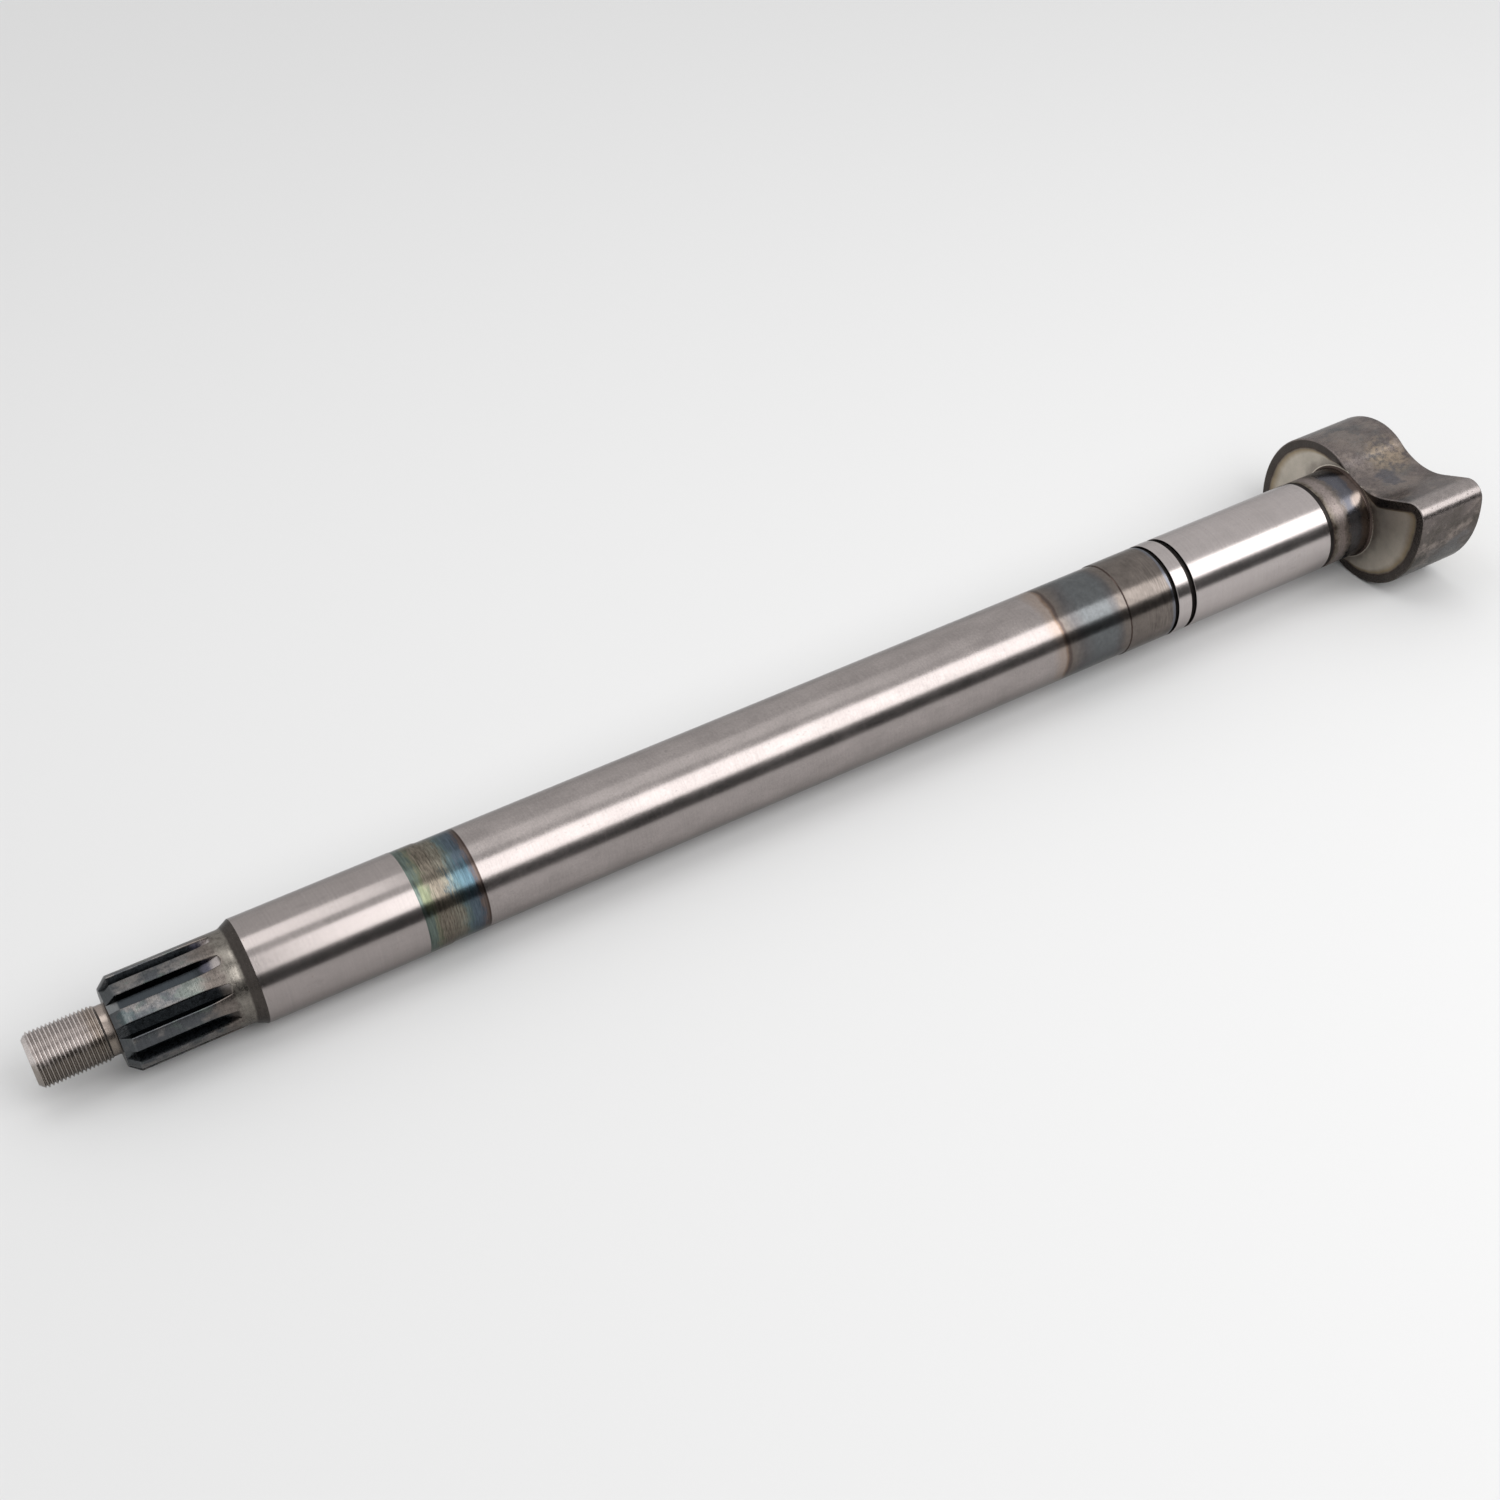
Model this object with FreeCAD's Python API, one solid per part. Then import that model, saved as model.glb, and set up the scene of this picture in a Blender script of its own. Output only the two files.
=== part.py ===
import FreeCAD, Part
import math
import os

# Brake camshaft in one piece: threaded stub, splines, two bearing journals and a head with two cam lobes.
# The shaft's axis lies along X, the head is at the +X end and +Z is up. Lengths are in millimetres,
# and the origin is on the axis, halfway along the journal beside the splines.

# Bearing journals and the turned shaft
journal_radius = 21.0
outer_journal_length = 65.0
outer_journal_runout = 0.6
inner_journal_length = 76.4
turned_radius = 20.85
body_radius = 20.5
outer_shoulder_length = 8.9
outer_shoulder_taper = 1.5
body_length = 320.1
inner_shoulder_taper = 0.4
inner_shoulder_length = 23.7

# Ring grooves beside the inner journal, with the land between them
ring_groove_width = 1.85
seal_groove_width = 2.65
groove_depth = 1.5
land_length = 7.0

# Relief behind the inner journal, and the neck up to the head
relief_width = 2.2
relief_depth = 0.5
neck_length = 21.9
neck_fillet = 1.5

# Threaded stub
thread_radius = 10.9
thread_length = 27.5
thread_chamfer = 2.2
thread_runout = 1.9
collar_radius = 9.9
collar_length = 3.2
collar_fillet = 0.8

# Splines
tooth_count = 10
tooth_width = 5.85
tooth_height = 3.55
tooth_phase_deg = 20.4
spline_radius = 18.75
spline_length = 51.8
spline_chamfer_length = 4.0
spline_front_drop = 3.4
groove_end_gap = 8.8
groove_cutter_radius = 24.0

# Shoulder cone between the splines and the outer journal
cone_length = 4.4
cone_fillet = 4.0

# Head: each lobe is an involute flank, a round nose, a straight return and a hollow seat
head_width = 35.0
flank_base_radius = 14.57
flank_phase_deg = 108.25
flank_start_deg = 74.75
flank_end_deg = 205.37
flank_points = 13
nose_radius = 7.53
return_length = 14.2
head_edge_round = 0.7

# Centre holes that carried the shaft while it was turned
centre_pilot_radius = 2.0
centre_pilot_depth = 12.0
centre_mouth_radius = 4.25
centre_half_angle_deg = 30.0

# Extra reach of every cutting body past the surface that it cuts, and how close two edges count as one
cut_reach = 2.0
same_place = 1e-4

root_radius = spline_radius - tooth_height
flank_start_roll = math.radians(flank_start_deg)
flank_end_roll = math.radians(flank_end_deg)
axis_point = FreeCAD.Vector(0.0, 0.0, 0.0)
axis_direction = FreeCAD.Vector(1.0, 0.0, 0.0)


def outer_stretches():
    """Stretches from the thread's end to the outer journal: length, first radius, last radius."""
    return [
        (thread_chamfer, thread_radius - thread_chamfer, thread_radius),
        (thread_length - thread_chamfer - thread_runout, thread_radius, thread_radius),
        (thread_runout, thread_radius, collar_radius),
        (collar_length, collar_radius, collar_radius),
        (spline_chamfer_length, spline_radius - spline_front_drop, spline_radius),
        (spline_length - spline_chamfer_length - cone_length, spline_radius, spline_radius),
        (cone_length, spline_radius, journal_radius),
    ]


def inner_stretches():
    """Stretches from the outer journal to the head: length, first radius, last radius."""
    groove_floor = journal_radius - groove_depth
    relief_floor = journal_radius - relief_depth
    return [
        (outer_journal_length, journal_radius, journal_radius),
        (outer_journal_runout, journal_radius, turned_radius),
        (outer_shoulder_length, turned_radius, turned_radius),
        (outer_shoulder_taper, turned_radius, body_radius),
        (body_length, body_radius, body_radius),
        (inner_shoulder_taper, body_radius, turned_radius),
        (inner_shoulder_length, turned_radius, turned_radius),
        (ring_groove_width, groove_floor, groove_floor),
        (land_length, journal_radius, journal_radius),
        (seal_groove_width, groove_floor, groove_floor),
        (inner_journal_length, journal_radius, journal_radius),
        (relief_width, relief_floor, relief_floor),
        (neck_length, turned_radius, turned_radius),
    ]


def total_length(stretches):
    """Length of a row of stretches."""
    return sum(length for length, first, last in stretches)


journal_start = -outer_journal_length / 2.0
thread_end = journal_start - total_length(outer_stretches())
spline_front = journal_start - spline_length
head_start = journal_start + total_length(inner_stretches())
head_end = head_start + head_width


def turned_shaft():
    """The round shaft from the thread's end to just inside the head."""
    outline = [FreeCAD.Vector(thread_end, 0.0, 0.0)]
    station = thread_end
    for length, first, last in outer_stretches() + inner_stretches():
        outline.append(FreeCAD.Vector(station, 0.0, first))
        station += length
        outline.append(FreeCAD.Vector(station, 0.0, last))
    outline.append(FreeCAD.Vector(station, 0.0, 0.0))
    distinct = [outline[0]]
    for point in outline[1:]:
        if point.distanceToPoint(distinct[-1]) > same_place:
            distinct.append(point)
    distinct.append(distinct[0])
    return Part.Face(Part.makePolygon(distinct)).revolve(axis_point, axis_direction, 360.0)


def circle_edges(shape, station, radius):
    """Round edges of a shape at one station and radius."""
    found = []
    for edge in shape.Edges:
        if not isinstance(edge.Curve, Part.Circle):
            continue
        if abs(edge.Curve.Center.x - station) < same_place and abs(edge.Curve.Radius - radius) < same_place:
            found.append(edge)
    return found


def soften_inner_corners(shaft):
    """Rounds the corner at the foot of the shoulder cone and the one behind the threaded stub."""
    shaft = shaft.makeFillet(cone_fillet, circle_edges(shaft, journal_start - cone_length, spline_radius))
    return shaft.makeFillet(collar_fillet, circle_edges(shaft, spline_front, collar_radius))


def groove_section():
    """Cross-section of one spline groove at the top of the shaft, between two straight-sided teeth."""
    half_pitch = math.pi / tooth_count
    top = spline_radius + cut_reach

    def half_width(height):
        return height * math.tan(half_pitch) - tooth_width / 2.0 / math.cos(half_pitch)

    corners = [
        (-half_width(root_radius), root_radius),
        (half_width(root_radius), root_radius),
        (half_width(top), top),
        (-half_width(top), top),
    ]
    points = [FreeCAD.Vector(0.0, y, z) for y, z in corners]
    return Part.Face(Part.makePolygon(points + points[:1]))


def groove_cutter():
    """One spline groove: a straight run that leaves the shaft along the rim of a round cutter."""
    drop = groove_cutter_radius - tooth_height
    rise_length = math.sqrt(groove_cutter_radius ** 2 - drop ** 2)
    straight_end = journal_start - groove_end_gap - rise_length
    section = groove_section()
    section.translate(FreeCAD.Vector(straight_end, 0.0, 0.0))
    straight = section.extrude(FreeCAD.Vector(spline_front - cut_reach - straight_end, 0.0, 0.0))
    cutter_axis = FreeCAD.Vector(straight_end, 0.0, root_radius + groove_cutter_radius)
    run_out = section.revolve(cutter_axis, FreeCAD.Vector(0.0, -1.0, 0.0), 90.0)
    return straight.fuse(run_out)


def spline_grooves():
    """All spline grooves, each halfway between two teeth."""
    pitch_deg = 360.0 / tooth_count
    grooves = []
    for index in range(tooth_count):
        groove = groove_cutter()
        angle = tooth_phase_deg + pitch_deg * (index + 0.5) - 90.0
        groove.rotate(axis_point, axis_direction, angle)
        grooves.append(groove)
    return grooves


def flank_point(roll):
    """Point of the involute flank, which winds outward clockwise as seen from the head's end face."""
    radius = flank_base_radius * math.hypot(1.0, roll)
    angle = math.radians(flank_phase_deg) - (roll - math.atan(roll))
    return FreeCAD.Vector(0.0, radius * math.cos(angle), radius * math.sin(angle))


def flank_direction(roll):
    """Direction of travel along the involute flank."""
    angle = math.radians(flank_phase_deg) - roll
    return FreeCAD.Vector(0.0, math.cos(angle), math.sin(angle))


def flank_speed(roll):
    """Travel along the involute flank for each radian that it unrolls."""
    return flank_direction(roll) * (flank_base_radius * roll)


def right_of(direction):
    """Unit vector to the right of a direction of travel in the YZ plane."""
    return FreeCAD.Vector(0.0, direction.z, -direction.y)


def arc_between(centre, radius, start, finish):
    """Shorter arc about a centre from one point to another."""
    middle = (start + finish) * 0.5 - centre
    middle.normalize()
    return Part.Arc(start, centre + middle * radius, finish).toShape()


def flank_curve():
    """The involute flank as one smooth curve."""
    span = flank_end_roll - flank_start_roll
    rolls = [flank_start_roll + span * index / (flank_points - 1) for index in range(flank_points)]
    curve = Part.BSplineCurve()
    curve.interpolate(
        Points=[flank_point(roll) for roll in rolls],
        Parameters=rolls,
        InitialTangent=flank_speed(flank_start_roll),
        FinalTangent=flank_speed(flank_end_roll),
        Scale=False,
    )
    return curve.toShape()


def seat_radius(nose_centre, seat_end, inward):
    """Radius of the seat that leaves a straight return of the given length between it and the nose."""
    reach = nose_centre - seat_end
    room = reach.dot(reach) - nose_radius ** 2 - return_length ** 2
    return room / (2.0 * (nose_radius + reach.dot(inward)))


def lobe_edges():
    """One lobe: involute flank, round nose, straight return and the seat that meets the other lobe."""
    flank_end = flank_point(flank_end_roll)
    nose_centre = flank_end + right_of(flank_direction(flank_end_roll)) * nose_radius
    other_start = flank_point(flank_start_roll) * -1.0
    inward = right_of(flank_direction(flank_start_roll))
    radius = seat_radius(nose_centre, other_start, inward)
    seat_centre = other_start + inward * radius
    line = nose_centre - seat_centre
    bearing = math.atan2(line.z, line.y) + math.atan2(return_length, nose_radius + radius)
    outward = FreeCAD.Vector(0.0, math.cos(bearing), math.sin(bearing))
    nose_end = nose_centre - outward * nose_radius
    seat_start = seat_centre + outward * radius
    return [
        flank_curve(),
        arc_between(nose_centre, nose_radius, flank_end, nose_end),
        Part.makeLine(nose_end, seat_start),
        arc_between(seat_centre, radius, seat_start, other_start),
    ]


def head_section():
    """Closed outline of the head with its two lobes half a turn apart."""
    edges = lobe_edges()
    opposite = [edge.copy() for edge in edges]
    for edge in opposite:
        edge.rotate(axis_point, axis_direction, 180.0)
    return Part.Face(Part.Wire(edges + opposite))


def cam_head():
    """The head with its rims rounded."""
    section = head_section()
    section.translate(FreeCAD.Vector(head_start, 0.0, 0.0))
    head = section.extrude(FreeCAD.Vector(head_width, 0.0, 0.0))
    rims = []
    for edge in head.Edges:
        box = edge.BoundBox
        if box.XMax - box.XMin < same_place:
            rims.append(edge)
    return head.makeFillet(head_edge_round, rims)


def neck_corner():
    """Concave round where the neck meets the head, only where the head stands behind it."""
    start = FreeCAD.Vector(head_start - neck_fillet, 0.0, turned_radius)
    finish = FreeCAD.Vector(head_start, 0.0, turned_radius + neck_fillet)
    centre = FreeCAD.Vector(start.x, 0.0, finish.z)
    corner = FreeCAD.Vector(head_start + head_edge_round, 0.0, turned_radius - cut_reach)
    edges = [
        arc_between(centre, neck_fillet, start, finish),
        Part.makeLine(finish, FreeCAD.Vector(corner.x, 0.0, finish.z)),
        Part.makeLine(FreeCAD.Vector(corner.x, 0.0, finish.z), corner),
        Part.makeLine(corner, FreeCAD.Vector(start.x, 0.0, corner.z)),
        Part.makeLine(FreeCAD.Vector(start.x, 0.0, corner.z), start),
    ]
    ring = Part.Face(Part.Wire(edges)).revolve(axis_point, axis_direction, 360.0)
    section = head_section()
    section.translate(FreeCAD.Vector(head_start - cut_reach, 0.0, 0.0))
    return ring.common(section.extrude(FreeCAD.Vector(2.0 * cut_reach, 0.0, 0.0)))


def centre_hole(face_station, inward):
    """Centre hole that opens in an end face; inward is 1 or -1 along X."""
    cone_depth = (centre_mouth_radius - centre_pilot_radius) / math.tan(math.radians(centre_half_angle_deg))
    slope = centre_mouth_radius + cut_reach * math.tan(math.radians(centre_half_angle_deg))
    profile = [
        (-cut_reach, 0.0),
        (-cut_reach, slope),
        (cone_depth, centre_pilot_radius),
        (centre_pilot_depth, centre_pilot_radius),
        (centre_pilot_depth + centre_pilot_radius, 0.0),
    ]
    points = [FreeCAD.Vector(face_station + inward * depth, 0.0, radius) for depth, radius in profile]
    return Part.Face(Part.makePolygon(points + points[:1])).revolve(axis_point, axis_direction, 360.0)


def camshaft():
    """The finished camshaft as one solid."""
    shaft = soften_inner_corners(turned_shaft())
    shaft = shaft.cut(spline_grooves())
    body = shaft.fuse([cam_head(), neck_corner()])
    body = body.cut([centre_hole(thread_end, 1.0), centre_hole(head_end, -1.0)])
    return body.removeSplitter().Solids[0]


def main():
    """Writes the camshaft's solid."""
    os.makedirs("parts", exist_ok=True)
    camshaft().exportStep("parts/camshaft.step")


main()
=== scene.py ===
"""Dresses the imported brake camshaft, from thread to cam head, in finished steel on a pale floor."""

import math

import bmesh
import bpy
import numpy as np
from mathutils import Matrix, Vector


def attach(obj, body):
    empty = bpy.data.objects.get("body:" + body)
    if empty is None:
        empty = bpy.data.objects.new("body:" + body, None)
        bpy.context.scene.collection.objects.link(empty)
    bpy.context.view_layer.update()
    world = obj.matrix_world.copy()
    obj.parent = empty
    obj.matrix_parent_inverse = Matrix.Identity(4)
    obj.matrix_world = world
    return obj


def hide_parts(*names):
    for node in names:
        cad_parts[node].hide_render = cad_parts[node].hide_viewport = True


bl_info = {
    "name": "Brake Camshaft",
    "version": (1, 0, 0),
    "blender": (4, 5, 0),
    "location": "3D View > Sidebar > Camshaft",
    "description": "Builds a drum brake camshaft, from its thread to its cam head, in steel",
    "category": "Add Mesh",
}

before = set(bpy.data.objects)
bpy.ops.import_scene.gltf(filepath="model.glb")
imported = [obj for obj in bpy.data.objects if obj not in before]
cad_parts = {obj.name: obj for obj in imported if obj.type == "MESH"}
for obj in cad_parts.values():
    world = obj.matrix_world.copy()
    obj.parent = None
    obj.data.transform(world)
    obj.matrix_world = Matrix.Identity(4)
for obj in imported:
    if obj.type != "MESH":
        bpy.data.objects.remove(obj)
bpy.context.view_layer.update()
MM = 0.001
TURN = 2 * math.pi

# Faces round the shaft, the thread and a centre hole.
SHAFT_COLUMNS = 240
THREAD_COLUMNS = 120
CENTRE_HOLE_COLUMNS = 48
WELD_DISTANCE = 0.001 * MM

# Each point of the head's faces carries its distance from the rim, for the dark rim in the finish.
RIM_ATTRIBUTE = "rim_distance"
INSIDE_FACE = 20.0 * MM

# How light the steel grows where it turns away from the eye.
EDGE_TINT = (0.65, 0.65, 0.65)

# Profile corners that turn less than this keep their place, and others get a small flat.
SMALL_TURN = math.radians(20.0)

# The camera, fitted to the outlines in the photograph.
CAMERA_LENS = 50.666
CAMERA_PLACE = Vector((-119.03, -575.99, 566.46)) * MM
CAMERA_RIGHT = Vector((0.86257, -0.50348, -0.04971))
CAMERA_UP = Vector((0.36212, 0.54579, 0.75565))
CAMERA_FORWARD = Vector((0.35333, 0.66981, -0.65310))

# The finishes' numbers on the finished piece, in the order of FINISHES below.
(THREAD_FINISH, SPLINE_FINISH, JOURNAL_FINISH, SHAFT_FINISH, GROOVE_FINISH,
 NECK_FINISH, HEAD_FINISH) = range(7)


def length(name, description, default_mm):
    """A length in the panel, given in millimetres."""
    return bpy.props.FloatProperty(
        name=name, description=description, default=default_mm * MM,
        min=0.0, subtype="DISTANCE", unit="LENGTH", precision=5,
    )


def colour(name, description, default):
    """A colour in the panel, in linear values."""
    return bpy.props.FloatVectorProperty(
        name=name, description=description, default=default,
        size=3, min=0.0, max=1.0, subtype="COLOR",
    )


def level(name, description, default):
    """A lamp's brightness in the panel, where white paper is 1."""
    return bpy.props.FloatProperty(name=name, description=description, default=default, min=0.0)


class StubSizes(bpy.types.PropertyGroup):
    """Threaded stub, its collar and the centre holes."""

    start: bpy.props.FloatProperty(
        name="Start", description="Where the stub's end face stands along the shaft",
        default=-115.0 * MM, subtype="DISTANCE", unit="LENGTH",
    )
    thread_length: length("Thread Length", "From the end face to the collar", 27.5)
    pitch: length("Pitch", "Thread pitch", 1.5)
    crest_radius: length("Crest Radius", "Half the thread's outside diameter", 10.9)
    root_radius: length("Root Radius", "Radius at the bottom of the thread", 9.98)
    nose_radius: length("End Radius", "Radius of the end face inside the thread's chamfer", 8.7)
    chamfer_length: length("Chamfer Length", "Length over which the thread rises", 2.2)
    runout_length: length("Run-out Length", "Length over which the thread dies out", 1.9)
    collar_radius: length("Collar Radius", "Plain collar behind the thread", 9.9)
    collar_length: length("Collar Length", "Length of the plain collar", 3.2)
    collar_fillet: length("Collar Fillet", "Round from the collar to the splines' end face", 0.8)
    centre_pilot_radius: length("Centre Pilot Radius", "Drilled pilot of the centre hole", 2.0)
    centre_pilot_depth: length("Centre Pilot Depth", "Depth of the pilot", 12.0)
    centre_mouth_radius: length("Centre Mouth Radius", "Mouth of the 60 degree centre", 4.25)


class SplineSizes(bpy.types.PropertyGroup):
    """The straight-sided splines."""

    count: bpy.props.IntProperty(name="Teeth", description="Number of teeth", default=10, min=3)
    phase: bpy.props.FloatProperty(
        name="Phase", description="Angle of the first tooth's middle",
        default=math.radians(20.4), subtype="ANGLE", unit="ROTATION",
    )
    tooth_width: length("Tooth Width", "Width between a tooth's parallel sides", 5.85)
    outer_radius: length("Outer Radius", "Radius over the teeth", 18.75)
    floor_height: length("Floor Height", "Distance of a groove's flat floor from the axis", 15.2)
    front_radius: length("Front Radius", "Radius of the end face inside the teeth's chamfer", 15.35)
    chamfer_length: length("Front Chamfer", "Length of the chamfer on the teeth's front", 4.0)
    full_length: length("Full Length", "From the end face to where the cutter leaves", 30.44)
    cutter_radius: length("Cutter Radius", "Cutter that leaves the curved run-outs", 24.0)
    edge_break: length("Edge Break", "Small flat on the teeth's long edges", 0.22)


class ShaftSizes(bpy.types.PropertyGroup):
    """The turned and ground shaft between the splines and the cam head."""

    journal_radius: length("Journal Radius", "Ground bearing journals", 21.0)
    turned_radius: length("Turned Radius", "Turned shoulders and neck", 20.85)
    body_radius: length("Body Radius", "Plain shaft between the shoulders", 20.5)
    cone_length: length("Cone Length", "Cone from the splines up to the journal", 4.4)
    cone_fillet: length("Cone Fillet", "Round at the foot of the cone", 4.0)
    outer_journal: length("Outer Journal", "Length of the journal beside the splines", 65.0)
    outer_runout: length("Grinding Run-out", "Where the wheel leaves the outer journal", 0.6)
    outer_shoulder: length("Outer Shoulder", "Turned stretch after the outer journal", 8.9)
    outer_taper: length("Outer Taper", "Taper from the shoulder down to the shaft", 1.5)
    body_length: length("Body Length", "Plain shaft", 320.1)
    inner_taper: length("Inner Taper", "Step up to the inner shoulder", 0.4)
    inner_shoulder: length("Inner Shoulder", "Turned stretch before the ring grooves", 23.7)
    ring_groove: length("Ring Groove", "Width of the narrow groove", 1.85)
    land: length("Land", "Ground land between the grooves", 7.0)
    seal_groove: length("Seal Groove", "Width of the wide groove", 2.65)
    groove_depth: length("Groove Depth", "Depth of both grooves", 1.5)
    inner_journal: length("Inner Journal", "Length of the journal beside the head", 76.4)
    relief: length("Relief", "Width of the relief after the inner journal", 2.2)
    relief_depth: length("Relief Depth", "Depth of the relief", 0.5)
    neck: length("Neck", "From the relief to the head's near face", 21.9)
    edge_break: length("Edge Break", "Small flat on the turned edges", 0.13)


class HeadSizes(bpy.types.PropertyGroup):
    """The S-shaped cam head."""

    width: length("Width", "Thickness of the head along the shaft", 35.0)
    base_radius: length("Base Circle", "Base circle of the involute flanks", 14.57)
    phase: bpy.props.FloatProperty(
        name="Phase", description="Angle at which the first flank's involute starts",
        default=math.radians(108.25), subtype="ANGLE", unit="ROTATION",
    )
    first_roll: bpy.props.FloatProperty(
        name="First Roll", description="Roll angle where a flank starts",
        default=math.radians(74.75), subtype="ANGLE", unit="ROTATION",
    )
    last_roll: bpy.props.FloatProperty(
        name="Last Roll", description="Roll angle where a flank ends",
        default=math.radians(205.37), subtype="ANGLE", unit="ROTATION",
    )
    nose_radius: length("Nose Radius", "Round nose of a lobe", 7.53)
    return_length: length("Return Length", "Straight side between nose and seat", 14.2)
    neck_fillet: length("Neck Fillet", "Round between the neck and the head", 1.5)
    edge_round: length("Edge Round", "Round on the head's outline", 0.7)
    seat_break: length("Seat Edge Break", "Small flat where a seat cuts the neck's round", 0.08)


class TintColours(bpy.types.PropertyGroup):
    """Colours of the bare, tinted and scaled steel."""

    outer_ground: colour("Outer Journal", "Ground steel beside the splines", (0.325, 0.292, 0.282))
    # The inner journal's colour also serves as the painted highlight in the upper spline pockets.
    inner_ground_and_highlight: colour("Inner Journal", "Ground steel beside the head", (0.45, 0.41, 0.40))
    shaft: colour("Shaft", "Satin steel of the plain shaft", (0.325, 0.292, 0.282))
    thread: colour("Thread", "Cut steel of the thread", (0.60, 0.55, 0.53))
    straw: colour("Straw", "Faint straw tint beside a band", (0.32, 0.265, 0.235))
    gold: colour("Gold", "Golden temper tint", (0.34, 0.27, 0.20))
    straw_grey: colour("Straw Grey", "Tint between straw and grey", (0.168, 0.155, 0.126))
    olive: colour("Olive", "Yellow-green temper tint", (0.135, 0.14, 0.10))
    # Brightened as a painted glint where the highlight crosses the outer band.
    olive_tint_glint: colour("Bright Olive", "Strongest yellow-green tint", (0.158, 0.168, 0.098))
    copper: colour("Copper", "Orange-brown temper tint", (0.215, 0.155, 0.12))
    bronze: colour("Bronze", "Red-brown temper tint", (0.10, 0.078, 0.07))
    brown: colour("Brown", "Thin brown oxide", (0.162, 0.14, 0.113))
    violet: colour("Violet", "Violet temper tint", (0.078, 0.078, 0.09))
    lavender: colour("Lavender", "Pale violet temper tint", (0.125, 0.122, 0.155))
    blue: colour("Blue", "Blue temper tint", (0.074, 0.096, 0.118))
    # Brightened as a painted glint where the highlight crosses the outer band.
    blue_tint_glint: colour("Bright Blue", "Strongest blue tint", (0.072, 0.132, 0.165))
    sky: colour("Sky", "Light blue temper tint", (0.095, 0.13, 0.137))
    pale_blue: colour("Pale Blue", "Last pale blue tint", (0.145, 0.147, 0.165))
    steel_blue: colour("Steel Blue", "Blue-grey polished tint", (0.112, 0.112, 0.128))
    teal: colour("Teal", "Blue-green temper tint", (0.108, 0.135, 0.12))
    pale_green: colour("Pale Green", "Greenish grey tint", (0.13, 0.146, 0.13))
    slate: colour("Slate", "Blue-grey oxide", (0.12, 0.126, 0.13))
    ash: colour("Ash", "Grey oxide", (0.11, 0.105, 0.106))
    warm_grey: colour("Warm Grey", "Brownish grey oxide", (0.155, 0.134, 0.121))
    tan: colour("Tan", "Matt tan surface", (0.27, 0.23, 0.215))
    blued: colour("Blued", "Blued steel of the splines", (0.078, 0.082, 0.088))
    worn_blue: colour("Worn Blue", "Splines where the blueing is worn", (0.175, 0.165, 0.16))
    dull_brown: colour("Dull Brown", "Scaled stretch behind the splines", (0.18, 0.165, 0.146))
    # Between the teeth the blued steel is painted near black as shade.
    blued_groove_shade: colour("Blue Black", "Walls and floors between the teeth", (0.028, 0.032, 0.036))
    # Scale also serves as painted shade in the thread's roots, on the collar by the splines and low
    # in the spline pockets.
    scale: colour("Scale", "Dark scale of the rim and the cone", (0.064, 0.056, 0.051))
    # Near black painted as shade in the grooves and the relief.
    groove_shade: colour("Soot", "Bottom of the ring grooves", (0.035, 0.031, 0.029))
    line: colour("Line", "Thin dark lines at the tint's ends", (0.062, 0.046, 0.040))
    rust: colour("Rust", "Rare rust specks", (0.20, 0.12, 0.07))
    oxide: colour("Head Oxide", "Brown-grey oxide on the head's upper sides", (0.17, 0.146, 0.14))
    pale_oxide: colour("Pale Oxide", "Rubbed patches on the head's sides", (0.27, 0.228, 0.205))
    # Its darkness low on the head's sides is partly painted shade.
    olive_scale_and_shade: colour("Olive Scale", "Dark oxide on the head's lower sides", (0.08, 0.072, 0.062))
    face: colour("Head Face", "Pale middle of the head's faces", (0.47, 0.427, 0.368))
    face_edge: colour("Head Face Edge", "Face where it nears the dark rim", (0.27, 0.215, 0.145))


class StageSettings(bpy.types.PropertyGroup):
    """Floor, room and lamps."""

    floor: colour("Floor", "Matt floor", (0.74, 0.74, 0.74))
    room: colour("Room", "Light from all round", (0.85, 0.85, 0.85))
    long_level: level("Long Softbox", "Brightness of the long softbox in front", 2.45)
    small_level: level("Small Softbox", "Brightness of the softbox over the splines", 1.6)
    fill_level: level("Fill Softbox", "Brightness of the softbox over the shaft", 0.4)


class Value:
    """A number running through a node tree, so that sums on it are written as plain arithmetic."""

    def __init__(self, nodes, socket):
        self.nodes = nodes
        self.socket = socket

    def other(self, output):
        """Another output of the same node."""
        return Value(self.nodes, self.socket.node.outputs[output])

    def math(self, operation, *operands):
        return self.nodes.add("ShaderNodeMath", {"operation": operation}, dict(enumerate(operands)))

    def __add__(self, other):
        return self.math("ADD", self, other)

    def __sub__(self, other):
        return self.math("SUBTRACT", self, other)

    def __rsub__(self, other):
        return self.math("SUBTRACT", other, self)

    def __mul__(self, other):
        return self.math("MULTIPLY", self, other)

    def __truediv__(self, other):
        return self.math("DIVIDE", self, other)

    __radd__ = __add__
    __rmul__ = __mul__

    def lowest(self, other):
        return self.math("MINIMUM", self, other)

    def highest(self, other):
        return self.math("MAXIMUM", self, other)

    def clamped(self):
        return self.math("MINIMUM", self.math("MAXIMUM", self, 0.0), 1.0)

    def fraction(self):
        return self.math("FRACT", self)

    def size(self):
        return self.math("ABSOLUTE", self)

    def cosine(self):
        return self.math("COSINE", self)

    def sine(self):
        return self.math("SINE", self)


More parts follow.
